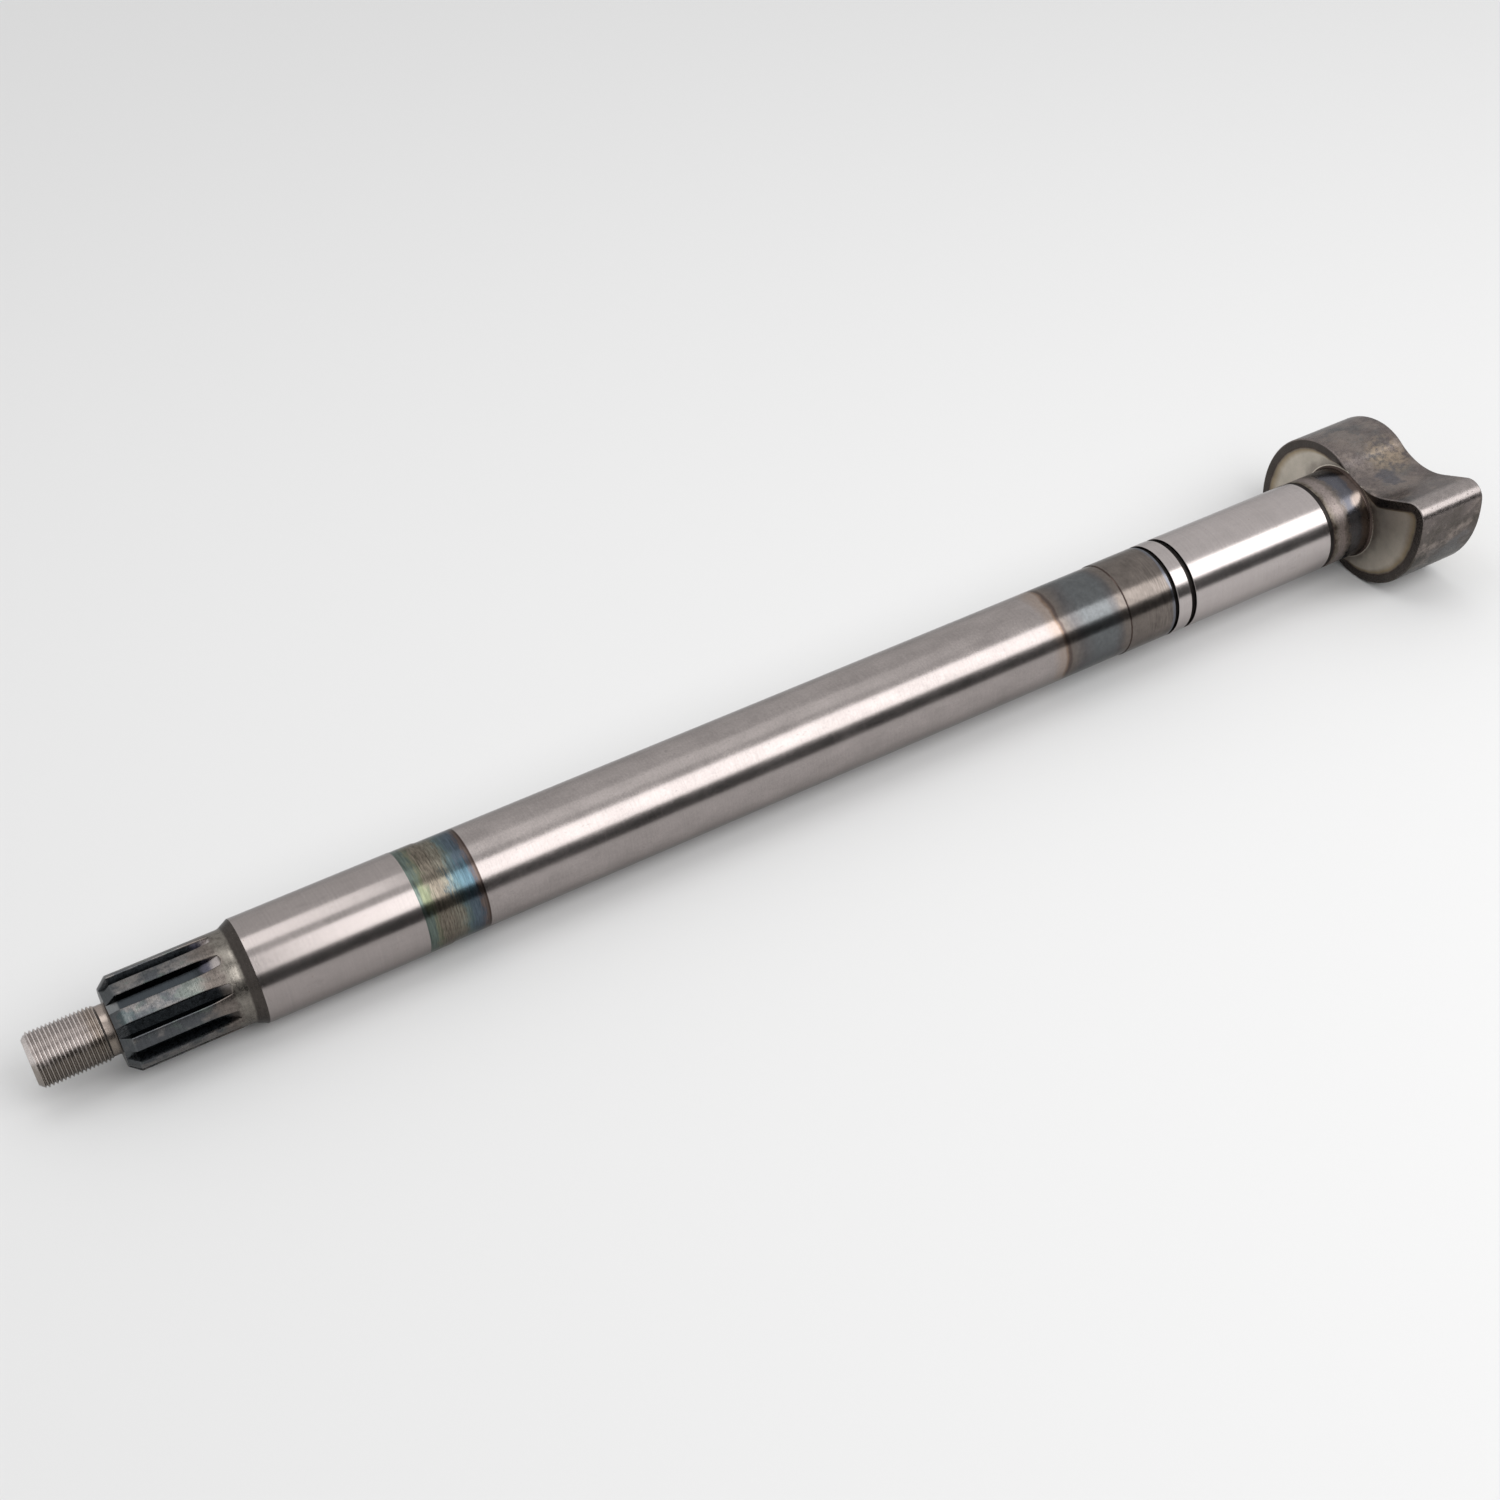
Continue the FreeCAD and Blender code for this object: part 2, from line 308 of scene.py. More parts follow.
class Nodes:
    """A node tree being built. Every node comes from add, its settings first, then its sockets."""

    def __init__(self, tree):
        self.tree = tree

    def add(self, kind, settings=None, sockets=None, result=0):
        node = self.tree.nodes.new(kind)
        for name, setting in (settings or {}).items():
            if name == "stops":
                self.set_stops(node.color_ramp.elements, setting)
            else:
                setattr(node, name, setting)
        for key, value in (sockets or {}).items():
            if isinstance(value, Value):
                self.tree.links.new(value.socket, node.inputs[key])
            elif node.inputs[key].type == "RGBA":
                node.inputs[key].default_value = (*value[:3], 1.0)
            else:
                node.inputs[key].default_value = value
        outputs = node.outputs
        return Value(self, outputs[result]) if len(outputs) else node

    def set_stops(self, elements, stops):
        """Gives a colour ramp these (position, colour) stops."""
        while len(elements) < len(stops):
            elements.new(1.0)
        for element, (position, colour_there) in zip(elements, stops):
            element.position = position
            element.color = (*colour_there[:3], 1.0)


class Finish(Nodes):
    """A steel finish being built. Its places run along and round the shaft, in millimetres."""

    def __init__(self, name):
        self.material = bpy.data.materials.new(name)
        self.material.use_nodes = True
        super().__init__(self.material.node_tree)
        self.shader = self.tree.nodes["Principled BSDF"]
        self.shader.inputs["Metallic"].default_value = 1.0
        self.shader.inputs["Specular Tint"].default_value = (*EDGE_TINT, 1.0)
        self.place = self.add("ShaderNodeTexCoord", result="Object")
        parts = self.add("ShaderNodeSeparateXYZ", sockets={0: self.place})
        self.along = parts / MM
        self.across = parts.other("Y") / MM
        self.up = parts.other("Z") / MM
        self.radius = self.add("ShaderNodeMath", {"operation": "SQRT"},
                               {0: self.across * self.across + self.up * self.up})

    def clouds(self, along, around, seed, detail=3.0):
        """Noise mostly within 0.2 of 0, by its lumps to a millimetre along and round the shaft."""
        shift = (seed * 7.31, seed * 3.17, seed * 5.53)
        stretched = self.add("ShaderNodeVectorMath", {"operation": "MULTIPLY_ADD"}, {
            0: self.place, 1: (along / MM, around / MM, around / MM), 2: shift})
        return self.add("ShaderNodeTexNoise", sockets={
            "Vector": stretched, "Scale": 1.0, "Detail": detail, "Roughness": 0.55}) - 0.5

    def band(self, value, low, high):
        """A soft step from 0 at low to 1 at high."""
        return self.add("ShaderNodeMapRange", {"interpolation_type": "SMOOTHSTEP"},
                        {"Value": value, "From Min": low, "From Max": high})

    def patch(self, centre, reach, ragged):
        """A patch with ragged edges about a place, given in millimetres."""
        away = self.add("ShaderNodeVectorMath", {"operation": "DISTANCE"},
                        {0: self.place, 1: [c * MM for c in centre]}, result="Value") / MM
        return self.band(away + ragged, reach, reach * 0.45)

    def mix(self, share, first, second):
        """Two colours mixed by a share."""
        return self.add("ShaderNodeMix", {"data_type": "RGBA"},
                        {0: share, 6: first, 7: second}, result=2)

    def varied(self, tone, *layers):
        """A colour made lighter and darker by layers of (noise, strength)."""
        level = 1.0 + sum(noise * strength for noise, strength in layers)
        return self.add("ShaderNodeVectorMath", {"operation": "SCALE"}, {0: tone, "Scale": level})

    def tempered(self, value, stops):
        """The colour at a place among (millimetres, colour) stops."""
        low, high = stops[0][0], stops[-1][0]
        share = self.add("ShaderNodeMapRange",
                         sockets={"Value": value, "From Min": low, "From Max": high})
        shares = [((place - low) / (high - low), tone) for place, tone in stops]
        return self.add("ShaderNodeValToRGB", {"stops": shares}, {"Fac": share})

    def finish(self, tone, roughness, relief=None, depth_mm=0.0):
        """Gives the shader its colour, its roughness and its fine relief."""
        self.tree.links.new(tone.socket, self.shader.inputs["Base Color"])
        self.tree.links.new(roughness.clamped().socket, self.shader.inputs["Roughness"])
        if relief is not None:
            bump = self.add("ShaderNodeBump", sockets={
                "Strength": 1.0, "Distance": depth_mm * MM, "Height": relief})
            self.tree.links.new(bump.socket, self.shader.inputs["Normal"])


def journal_steel(tints):
    """Ground journals and the land: bright, with fine lines round the shaft and faint smudges."""
    made = Finish("journal_steel")
    lines = made.clouds(1.7, 0.04, 1, 5.0)
    smudges = made.clouds(0.07, 0.16, 2, 5.0)
    grain = made.clouds(1.3, 1.3, 22, 3.0)
    specks = made.band(made.clouds(0.9, 0.7, 23, 2.0), 0.235, 0.275)
    tone = made.mix(made.band(made.along, 200.0, 210.0), tints.outer_ground, tints.inner_ground_and_highlight)
    tone = made.mix(made.band(smudges, 0.05, 0.2) * 0.5, tone, made.varied(tone, (smudges, -1.2)))
    tone = made.varied(tone, (lines, 0.20), (smudges, 0.25), (grain, 0.16))
    tone = made.mix(specks * 0.55, tone, tints.rust)
    made.finish(tone, 0.20 + lines * 0.07 + smudges * 0.12 + grain * 0.05, lines, 0.003)
    return made.material


def outer_band(made, tints, lines):
    """Temper colours between the outer journal and the thin dark line on the shaft."""
    streaks = made.clouds(1.6, 0.22, 24, 4.0)
    drift = made.clouds(0.25, 0.16, 6, 3.0)
    tone = made.tempered(made.along + streaks * 7.0 + drift * 5.0, (
        (32.5, tints.teal), (35.4, tints.teal), (37.0, tints.olive), (38.8, tints.brown),
        (42.6, tints.brown), (45.0, tints.straw_grey), (46.6, tints.straw_grey),
        (48.4, tints.pale_green), (50.0, tints.sky), (52.2, tints.blue), (54.4, tints.blue),
        (55.8, tints.violet), (57.0, tints.bronze)))
    scale_zone = made.band(made.along, 36.0, 39.5) * made.band(made.along, 51.0, 47.5)
    flecks = made.band(made.clouds(2.8, 0.45, 7, 5.0) + drift * 0.4, -0.06, 0.16) * scale_zone
    # Painted highlight: a brighter olive tint where the long softbox's highlight crosses the band's
    # start.
    olive_glint_patch = made.patch((35.4, -14.5, 15.0), 9.0, streaks * 20.0)
    olive_zone = made.band(made.along + streaks * 4.0, 38.2, 36.0)
    olive_start = made.band(made.along + streaks * 3.0, 33.4, 34.6)
    tone = made.mix(olive_glint_patch * olive_zone * olive_start * 0.75, tone, tints.olive_tint_glint)
    # Painted highlight: a brighter blue tint where the long softbox's highlight crosses the band.
    blue_glint_patch = made.patch((52.6, -14.2, 14.7), 9.0, streaks * 24.0)
    blue_zone = made.band(made.along + streaks * 3.0, 55.8, 54.4)
    tone = made.mix(blue_glint_patch * blue_zone * 0.65, tone, tints.blue_tint_glint)
    tone = made.varied(tone, (lines, 1.2), (streaks, 1.3), (flecks, -0.32))
    return made.mix(made.band(made.along, 56.3, 57.1), tone, tints.bronze)


def inner_band(made, tints, grain, ragged):
    """Temper colours on the shaft before the step up to the inner shoulder."""
    mottles = made.clouds(0.42, 0.42, 25, 4.0)
    tone = made.tempered(made.along + ragged, (
        (322.0, tints.shaft), (326.0, tints.straw), (328.0, tints.straw), (329.4, tints.copper),
        (330.6, tints.bronze), (331.4, tints.bronze), (332.4, tints.warm_grey), (338.0, tints.ash),
        (344.0, tints.slate), (355.0, tints.slate), (358.4, tints.ash), (361.4, tints.warm_grey),
        (363.2, tints.warm_grey)))
    over_line = made.band(made.along + ragged, 331.5, 334.0)
    return made.varied(tone, (grain, 0.35), (mottles, 0.6 * over_line))


def inner_shoulder(made, tints, grain):
    """Turned shoulder before the ring grooves, with a pale blue edge."""
    turning = made.clouds(1.5, 0.11, 26, 4.0)
    mottles = made.clouds(0.25, 0.25, 27, 4.0)
    worn = made.band(made.along, 370.0, 377.0)
    pale_edge = made.band(made.along + turning * 2.0, 385.9, 386.8)
    tone = made.mix(pale_edge, tints.warm_grey, tints.pale_blue)
    return made.varied(tone, (turning, 0.3 + 0.8 * worn), (mottles, 0.7), (grain, 0.4))


def shaft_steel(tints):
    """Satin shaft with a tint band beside each shoulder."""
    made = Finish("shaft_steel")
    lines = made.clouds(1.6, 0.07, 3, 5.0)
    grain = made.clouds(1.2, 1.0, 4, 4.0)
    drift = made.clouds(0.06, 0.13, 5, 4.0)
    stains = made.band(made.clouds(0.35, 0.9, 28, 4.0) + drift * 0.4, 0.14, 0.24)
    tone = made.varied(tints.shaft, (lines, 0.20), (grain, 0.34), (drift, 0.5), (stains, -0.12))
    before_line = made.band(made.along, 58.35, 57.95)
    tone = made.mix(before_line, tone, outer_band(made, tints, lines))
    ragged = made.clouds(0.05, 0.045, 29, 2.0) * 9.0 + made.clouds(0.6, 0.5, 30, 3.0) * 1.1
    in_band = made.band(made.along, 321.0, 323.0)
    tone = made.mix(in_band, tone, inner_band(made, tints, grain, ragged))
    on_shoulder = made.band(made.along, 363.9, 364.1)
    tone = made.mix(on_shoulder, tone, inner_shoulder(made, tints, grain))
    nicked = made.along + made.clouds(0.9, 0.7, 31, 3.0) * 0.5
    first_line = made.band(made.along, 57.25, 57.5) * made.band(made.along, 58.15, 57.95)
    second_line = made.band(nicked, 363.45, 363.7) * made.band(nicked, 364.35, 364.1)
    tone = made.mix(first_line.highest(second_line), tone, tints.line)
    tinted = before_line.highest(made.band(made.along + ragged, 329.0, 332.0))
    roughness = 0.215 + grain * 0.12 + lines * (0.05 + tinted * 0.08) + drift * 0.10
    made.finish(tone, roughness, lines * (0.3 + tinted) + grain * 0.6, 0.006)
    return made.material


def groove_steel(tints):
    """Grooves and relief: turned, and painted near black as shade."""
    made = Finish("groove_steel")
    dirt = made.clouds(0.6, 0.5, 8, 4.0)
    made.finish(made.varied(tints.groove_shade, (dirt, 1.4)), 0.45 + dirt * 0.4)
    return made.material


def neck_steel(tints):
    """Neck beside the head: matt tan, then polished and tinted blue, bronze at the head."""
    made = Finish("neck_steel")
    ragged = made.clouds(0.5, 0.4, 9, 5.0) * 5.0 + made.clouds(0.06, 0.05, 32, 2.0) * 7.0
    grain = made.clouds(1.3, 1.1, 10, 5.0)
    lines = made.clouds(1.4, 0.12, 33, 4.0)
    place = made.along + ragged
    tone = made.tempered(place, (
        (477.8, tints.line), (479.0, tints.brown), (481.2, tints.tan), (484.0, tints.tan),
        (486.0, tints.warm_grey), (488.2, tints.steel_blue), (491.6, tints.steel_blue),
        (493.6, tints.violet), (495.4, tints.bronze), (497.6, tints.bronze), (498.6, tints.line)))
    # A straw patch where the highlight crosses the neck by the head, partly temper tint and partly a
    # painted glint.
    tone = made.mix(made.patch((496.2, -14.2, 15.2), 5.0, ragged * 0.5) * 0.8, tone, tints.straw)
    polished = made.band(place, 484.8, 487.6)
    pits = made.band(made.clouds(1.7, 1.5, 34, 3.0), 0.10, 0.17) * (1.0 - polished)
    tone = made.varied(tone, (grain, 0.9 - polished * 0.6), (lines, 0.5), (pits, -0.45))
    made.finish(tone, 0.43 - polished * 0.18 + grain * 0.15, grain * (1.0 - polished * 0.8), 0.02)
    return made.material


def spline_steel(tints):
    """Blued splines, painted near black as shade between the teeth, brown where the grooves run out,
    and a dark cone.
    """
    made = Finish("spline_steel")
    clouds = made.clouds(0.14, 0.2, 11, 4.0)
    mottles = made.clouds(0.45, 0.45, 35, 5.0)
    grain = made.clouds(1.3, 1.3, 12, 4.0)
    marks = made.clouds(2.2, 0.16, 13, 4.0)
    on_top = made.band(made.radius, 18.0, 18.6)
    # Upper side, where the groove ends carry painted light.
    upper = made.band(made.up, 9.0, 14.0)
    # Painted light: teeth well above and below the axis' height come out lighter and those at its
    # height darker, on top of random wear.
    lit_by_side = made.band(made.up, 3.0, 15.0) * 0.16 + made.band(made.up, -3.0, -8.0) * 0.26 - 0.05
    worn = made.band(clouds + lit_by_side, 0.0, 0.2)
    top = made.mix(worn, tints.blued, tints.worn_blue)
    top = made.mix(made.band(made.clouds(0.2, 0.3, 14, 3.0), 0.04, 0.20) * 0.5, top, tints.teal)
    teal_patch = made.patch((-53.5, -11.8, 14.6), 8.0, clouds * 20.0 + mottles * 6.0)
    top = made.mix(teal_patch * 0.6, top, tints.pale_green)
    # Painted highlight: the tooth facing up and to the front is made lighter.
    highlit_tooth = made.band(made.up, 5.0, 12.0) * made.band(made.across, -7.0, -11.0)
    top = made.varied(top, (highlit_tooth, 0.5))
    front = made.band(made.along, -79.8, -80.8)
    top = made.mix(front * 0.7, top, tints.slate)
    # Sky-blue tint on the front chamfer of the tooth facing up and to the front, partly a painted
    # highlight.
    blue_edge_glint = made.patch((-79.8, -12.0, 14.4), 3.6, mottles * 8.0)
    top = made.mix(blue_edge_glint * 0.7, top, tints.sky)
    runout = made.band(made.along + clouds * 16.0 + mottles * 4.0, -53.5, -46.0)
    ochre_end = made.band(made.along + mottles * 8.0, -40.5, -43.5)
    ochre = made.mix(ochre_end, tints.dull_brown, tints.warm_grey)
    top = made.mix(runout, top, made.varied(ochre, (mottles, 0.8)))
    ragged = made.along + mottles * 3.0
    # Painted light: at the run-outs the upper grooves get a lavender tint and a pale painted
    # highlight in their pockets, while the lower pockets get painted shade in dark scale.
    walls = made.mix(made.band(ragged, -50.5, -46.5) * upper, tints.blued_groove_shade, tints.lavender)
    pocket_light_and_shade = made.mix(upper, tints.scale, tints.inner_ground_and_highlight)
    walls = made.mix(made.band(ragged, -47.0, -43.6), walls, pocket_light_and_shade)
    outside = on_top.highest(front * 0.6).highest(made.band(made.along, -42.0, -41.2))
    tone = made.mix(outside, walls, top)
    cone = made.band(made.along + mottles * 1.2, -37.0, -36.0)
    tone = made.mix(cone, tone, tints.scale)
    sparks = made.band(made.clouds(1.1, 1.1, 36, 2.0), 0.22, 0.27) * cone
    tone = made.mix(sparks * 0.7, tone, tints.tan)
    # Painted highlights: pale spots at the foot of the cone.
    glint_places = (
        ((-35.6, -7.5, 18.0), 3.6), ((-37.4, -12.7, 13.8), 4.0), ((-36.5, 2.0, -18.7), 5.0))
    for centre, reach in glint_places:
        glint_spot = made.patch(centre, reach, mottles * 5.0) * (1.0 - cone)
        tone = made.varied(tone, (glint_spot, 0.8))
    tone = made.varied(tone, (mottles, 0.45), (grain, 0.6), (marks * on_top, 0.55))
    roughness = 0.29 + grain * 0.25 + mottles * 0.2 + marks * 0.1
    made.finish(tone, roughness, grain + mottles + marks * on_top, 0.025)
    return made.material


def thread_steel(tints):
    """Cut thread: bright, with painted shade darkening its lower side and its roots, and straw
    behind.
    """
    made = Finish("thread_steel")
    clouds = made.clouds(0.25, 0.25, 15, 4.0)
    grain = made.clouds(1.8, 1.8, 16, 3.0)
    # Painted shade: the thread's roots, outside the chamfer, are darkened towards dark scale.
    root = made.band(made.radius, 10.4, 10.02) * made.band(made.along, -114.0, -112.6)
    tone = made.varied(tints.thread, (clouds, 0.5))
    straw = made.band(made.along + clouds * 10.0, -96.0, -90.0) * made.band(made.up, -4.0, 6.0)
    tone = made.mix(straw * 0.45, tone, tints.gold)
    tone = made.mix(root * 0.35, tone, tints.scale)
    tone = made.mix(made.band(made.along, -88.6, -87.6) * 0.6, tone, tints.straw)
    # Painted shade: the lower side of the thread and collar is darkened towards brown.
    underside_shade = made.band(made.up + clouds * 6.0, 7.0, 3.5)
    tone = made.mix(underside_shade * 0.7, tone, tints.brown)
    # Painted shade on the collar beside the splines' end face, in the dark scale colour.
    tone = made.mix(made.band(made.along + clouds, -85.6, -84.6) * 0.7, tone, tints.scale)
    tone = made.varied(tone, (grain, 0.5))
    made.finish(tone, 0.28 + grain * 0.25 + clouds * 0.1, grain, 0.008)
    return made.material


def head_steel(tints):
    """Cam head: oxide and temper patches on its sides, dark rims and pale middles on its faces."""
    made = Finish("head_steel")
    depth = made.add("ShaderNodeAttribute", {"attribute_name": RIM_ATTRIBUTE}, result="Fac") / MM
    broad = made.clouds(0.045, 0.05, 17, 3.0)
    patches = made.clouds(0.13, 0.15, 18, 5.0)
    fine = made.clouds(0.5, 0.6, 21, 5.0)
    grain = made.clouds(1.5, 1.5, 19, 4.0)
    # The sides turn from brown-grey oxide above to dark olive scale below; the darkening below is
    # partly painted shade.
    side = made.mix(made.band(made.up + broad * 70.0, -6.0, 24.0), tints.olive_scale_and_shade, tints.oxide)
    side = made.mix(made.band(patches + fine * 0.2, -0.04, 0.24) * 0.9, side, tints.pale_oxide)
    side = made.mix(made.band(broad + fine * 0.15, 0.02, 0.22) * 0.7, side, tints.slate)
    golden = made.patch((523.0, -1.5, 23.0), 15.0, patches * 18.0 + fine * 8.0)
    side = made.mix(golden * made.band(patches + fine * 0.6, -0.16, 0.12) * 0.75, side, tints.gold)
    for centre, reach in (((510.5, 13.3, 27.5), 10.0), ((516.0, -18.0, 19.0), 11.0)):
        rubbed_patch = made.patch(centre, reach, patches * 30.0 + fine * 10.0)
        side = made.mix(rubbed_patch * 0.6, side, tints.pale_oxide)
    blue_patch = made.patch((514.5, -11.0, 20.0), 7.5, patches * 24.0)
    side = made.mix(blue_patch * 0.7, side, tints.steel_blue)
    scratches = made.band(made.clouds(0.28, 1.3, 20, 4.0) + patches * 0.5, 0.12, 0.24)
    side = made.mix(scratches * 0.35, side, tints.tan)
    # Bare steel along the noses' upper ridges, partly rubbed wear and partly a painted highlight.
    rubbed_and_highlit = made.band(made.up.size(), 21.5, 25.5) * made.band(made.radius, 45.0, 50.0)
    side = made.mix(rubbed_and_highlit * 0.9, side, tints.shaft)
    pits = made.band(made.clouds(0.8, 0.9, 37, 3.0), 0.13, 0.2) * made.band(depth, 0.5, 0.15)
    side = made.varied(side, (grain, 0.5), (fine, 0.6), (pits, -0.2))
    face = made.tempered(depth + patches * 1.2 + fine * 0.3, (
        (0.0, tints.scale), (3.7, tints.scale), (4.2, tints.line), (4.7, tints.brown),
        (5.4, tints.face_edge), (8.2, tints.face)))
    face = made.varied(face, (grain, 0.30), (broad, 0.8), (patches, 0.3))
    near_half = made.band(made.along, 520.0, 515.0)
    # On the near face the colour turns warm grey towards the neck.
    by_neck = made.band(made.radius + patches * 8.0, 27.0, 22.0) * near_half
    face = made.mix(by_neck * 0.55, face, tints.warm_grey)
    tone = made.mix(made.band(depth, 0.15, 0.5), side, face)
    round_neck = made.band(made.radius, 22.45, 22.3) * made.band(made.along, 499.9, 499.75)
    ring = made.mix(made.band(made.radius, 21.75, 22.05), tints.line, tints.face)
    tone = made.mix(round_neck, tone, ring)
    on_face = made.band(depth, 4.0, 5.0) * (1.0 - round_neck)
    roughness = 0.29 + grain * 0.25 + fine * 0.2 + pits * 0.1 + on_face * 0.10
    made.finish(tone, roughness, grain + fine * 1.5 - pits, 0.018)
    return made.material


FINISHES = (
    thread_steel, spline_steel, journal_steel, shaft_steel, groove_steel, neck_steel, head_steel,
)


def finishes():
    """The materials in the order of their numbers."""
    return [bpy.data.materials[make.__name__] for make in FINISHES]


def geometry_tree(name, **inputs):
    """A new geometry tree with inputs of these kinds and names, as (nodes, {input name: value})."""
    tree = bpy.data.node_groups.new(name, "GeometryNodeTree")
    titles = []
    for kind, names in inputs.items():
        for title in names:
            tree.interface.new_socket(name=title, in_out="INPUT", socket_type="NodeSocket" + kind)
            titles.append(title)
    tree.interface.new_socket(name="Geometry", in_out="OUTPUT", socket_type="NodeSocketGeometry")
    nodes = Nodes(tree)
    source = nodes.add("NodeGroupInput")
    return nodes, {title: source.other(title) for title in titles}


def finish_tree(nodes, geometry, material):
    """Realizes, welds and paints the geometry, and sends it out of the tree."""
    real = nodes.add("GeometryNodeRealizeInstances", sockets={"Geometry": geometry})
    merged = nodes.add("GeometryNodeMergeByDistance",
                       sockets={"Geometry": real, "Distance": WELD_DISTANCE})
    painted = nodes.add("GeometryNodeSetMaterial",
                        sockets={"Geometry": merged, "Material": material})
    nodes.add("NodeGroupOutput", sockets={"Geometry": painted})


def thread_tree():
    """A sheet sheared along the helix and wrapped round the axis, with a chamfer and a run-out."""
    nodes, given = geometry_tree(
        "Screw Thread",
        Float=("Start", "End", "Pitch", "Crest Radius", "Root Radius", "End Radius",
               "Collar Radius", "Chamfer Length", "Run-out Length"),
        Int=("Turns", "Rows a Turn", "Columns"),
        Material=("Material",),
    )
    sheet = nodes.add("GeometryNodeMeshGrid", sockets={
        "Size X": 1.0, "Size Y": 1.0,
        "Vertices X": given["Columns"] + 1, "Vertices Y": given["Turns"] * given["Rows a Turn"] + 1,
    })
    place = nodes.add("ShaderNodeSeparateXYZ", sockets={0: nodes.add("GeometryNodeInputPosition")})
    round_share = place + 0.5
    turns_along = (place.other("Y") + 0.5) * given["Turns"]
    station = given["Start"] + (turns_along + round_share - 1.0) * given["Pitch"]
    station = station.highest(given["Start"]).lowest(given["End"])
    past_seam = 1e-4
    from_crest = ((turns_along + past_seam).fraction() * 2.0 - 1.0).size()
    flat_share = 1 / 6
    height = ((1 - flat_share - from_crest) * (1 / (1 - 2 * flat_share))).clamped()
    profile = given["Root Radius"] + (given["Crest Radius"] - given["Root Radius"]) * height
    chamfer_rise = given["Crest Radius"] - given["End Radius"]
    chamfer = (given["End Radius"]
               + chamfer_rise * (station - given["Start"]) / given["Chamfer Length"])
    runout_rise = given["Crest Radius"] - given["Collar Radius"]
    runout = (given["Collar Radius"]
              + runout_rise * (given["End"] - station) / given["Run-out Length"])
    radius = profile.lowest(chamfer).lowest(runout)
    angle = round_share * TURN
    wrapped = nodes.add("ShaderNodeCombineXYZ", sockets={
        "X": station, "Y": radius * angle.cosine(), "Z": radius * angle.sine()})
    thread = nodes.add("GeometryNodeSetPosition", sockets={"Geometry": sheet, "Position": wrapped})
    finish_tree(nodes, thread, given["Material"])
    return nodes.tree


def round_tree():
    """Repeats one sector of the shaft's skin round the axis."""
    nodes, given = geometry_tree(
        "Repeat Round the Shaft", Geometry=("Geometry",), Int=("Count",), Material=("Material",))
    places = nodes.add("GeometryNodeMeshLine",
                       sockets={"Count": given["Count"], "Offset": (0.0, 0.0, 0.0)})
    angle = nodes.add("GeometryNodeInputIndex") * TURN / given["Count"]
    turned = nodes.add("FunctionNodeEulerToRotation", sockets={
        0: nodes.add("ShaderNodeCombineXYZ", sockets={"X": angle})})
    sectors = nodes.add("GeometryNodeInstanceOnPoints", sockets={
        "Points": places, "Instance": given["Geometry"], "Rotation": turned})
    finish_tree(nodes, sectors, given["Material"])
    return nodes.tree


def grown(name, mesh, tree, **inputs):
    """The plain mesh object that a tree makes of a mesh. Inputs are set by their identifiers."""
    source = bpy.data.objects.new(name + "_source", mesh)
    bpy.context.scene.collection.objects.link(source)
    modifier = source.modifiers.new("Shape", "NODES")
    modifier.node_group = tree
    names = {item.name.replace(" ", "_").replace("-", "_").lower(): item.identifier
             for item in tree.interface.items_tree if item.in_out == "INPUT"}
    for key, value in inputs.items():
        modifier[names[key]] = value
    evaluated = source.evaluated_get(bpy.context.evaluated_depsgraph_get())
    plain = bpy.data.meshes.new_from_object(evaluated)
    plain.name = name
    bpy.data.objects.remove(source)
    piece = bpy.data.objects.new(name, plain)
    bpy.context.scene.collection.objects.link(piece)
    return piece


class Skin:
    """A skin laid over chains of points. A chain runs with growing angle round the axis, and the
    next one lies further on the way from the stub's end face, over the shaft, to the head's end."""

    def __init__(self):
        self.points = []
        self.faces = []
        self.finishes = []
        self.rims = []

    def chain(self, points, rim=0.0):
        """Adds (station, y, z) points and returns their numbers."""
        first = len(self.points)
        self.points += [tuple(p) for p in points]
        self.rims += list(np.broadcast_to(rim, len(points)))
        return list(range(first, len(self.points)))

    def face(self, corners, finish):
        """Adds a face, without the corners that fall together."""
        kept = [c for n, c in enumerate(corners) if c != corners[n - 1]]
        if len(set(kept)) > 2:
            self.faces.append(kept)
            self.finishes.append(finish)

    def strip(self, first, second, finish=0):
        """Four-sided faces between two chains of as many points."""
        for n in range(len(first) - 1):
            self.face((first[n], first[n + 1], second[n + 1], second[n]), finish)

    def rows(self, rows, below=None, finish=0, rim=0.0):
        """Adds rows of points with strips between them, from below up. Returns the last row."""
        for points in rows:
            ring = self.chain(points, rim)
            if below:
                self.strip(below, ring, finish)
            below = ring
        return below

    def zip(self, first, second, finish=0):
        """Triangles between chains of unlike numbers of points, stepping on the one behind."""
        angles = [self.angles(chain) for chain in (first, second)]
        a = b = 0
        while a < len(first) - 1 or b < len(second) - 1:
            second_done = b == len(second) - 1
            if second_done or (a < len(first) - 1 and angles[0][a + 1] <= angles[1][b + 1] + 1e-9):
                self.face((first[a], first[a + 1], second[b]), finish)
                a += 1
            else:
                self.face((first[a], second[b + 1], second[b]), finish)
                b += 1

    def angles(self, chain):
        """The growing angles of a chain's points round the axis."""
        places = np.array([self.points[n] for n in chain])
        angles = np.unwrap(np.arctan2(places[:, 2], places[:, 1]))
        return angles - TURN * round(angles[0] / TURN)

    def mesh(self, name, finishes):
        """The skin as a mesh, its faces painted by the numbers of these finishes."""
        mesh = bpy.data.meshes.new(name)
        mesh.from_pydata(self.points, [], self.faces)
        for finish in finishes:
            mesh.materials.append(finish)
        mesh.polygons.foreach_set("material_index", self.finishes)
        rim = mesh.attributes.new(RIM_ATTRIBUTE, "FLOAT", "POINT")
        rim.data.foreach_set("value", np.array(self.rims, np.float32))
        return mesh


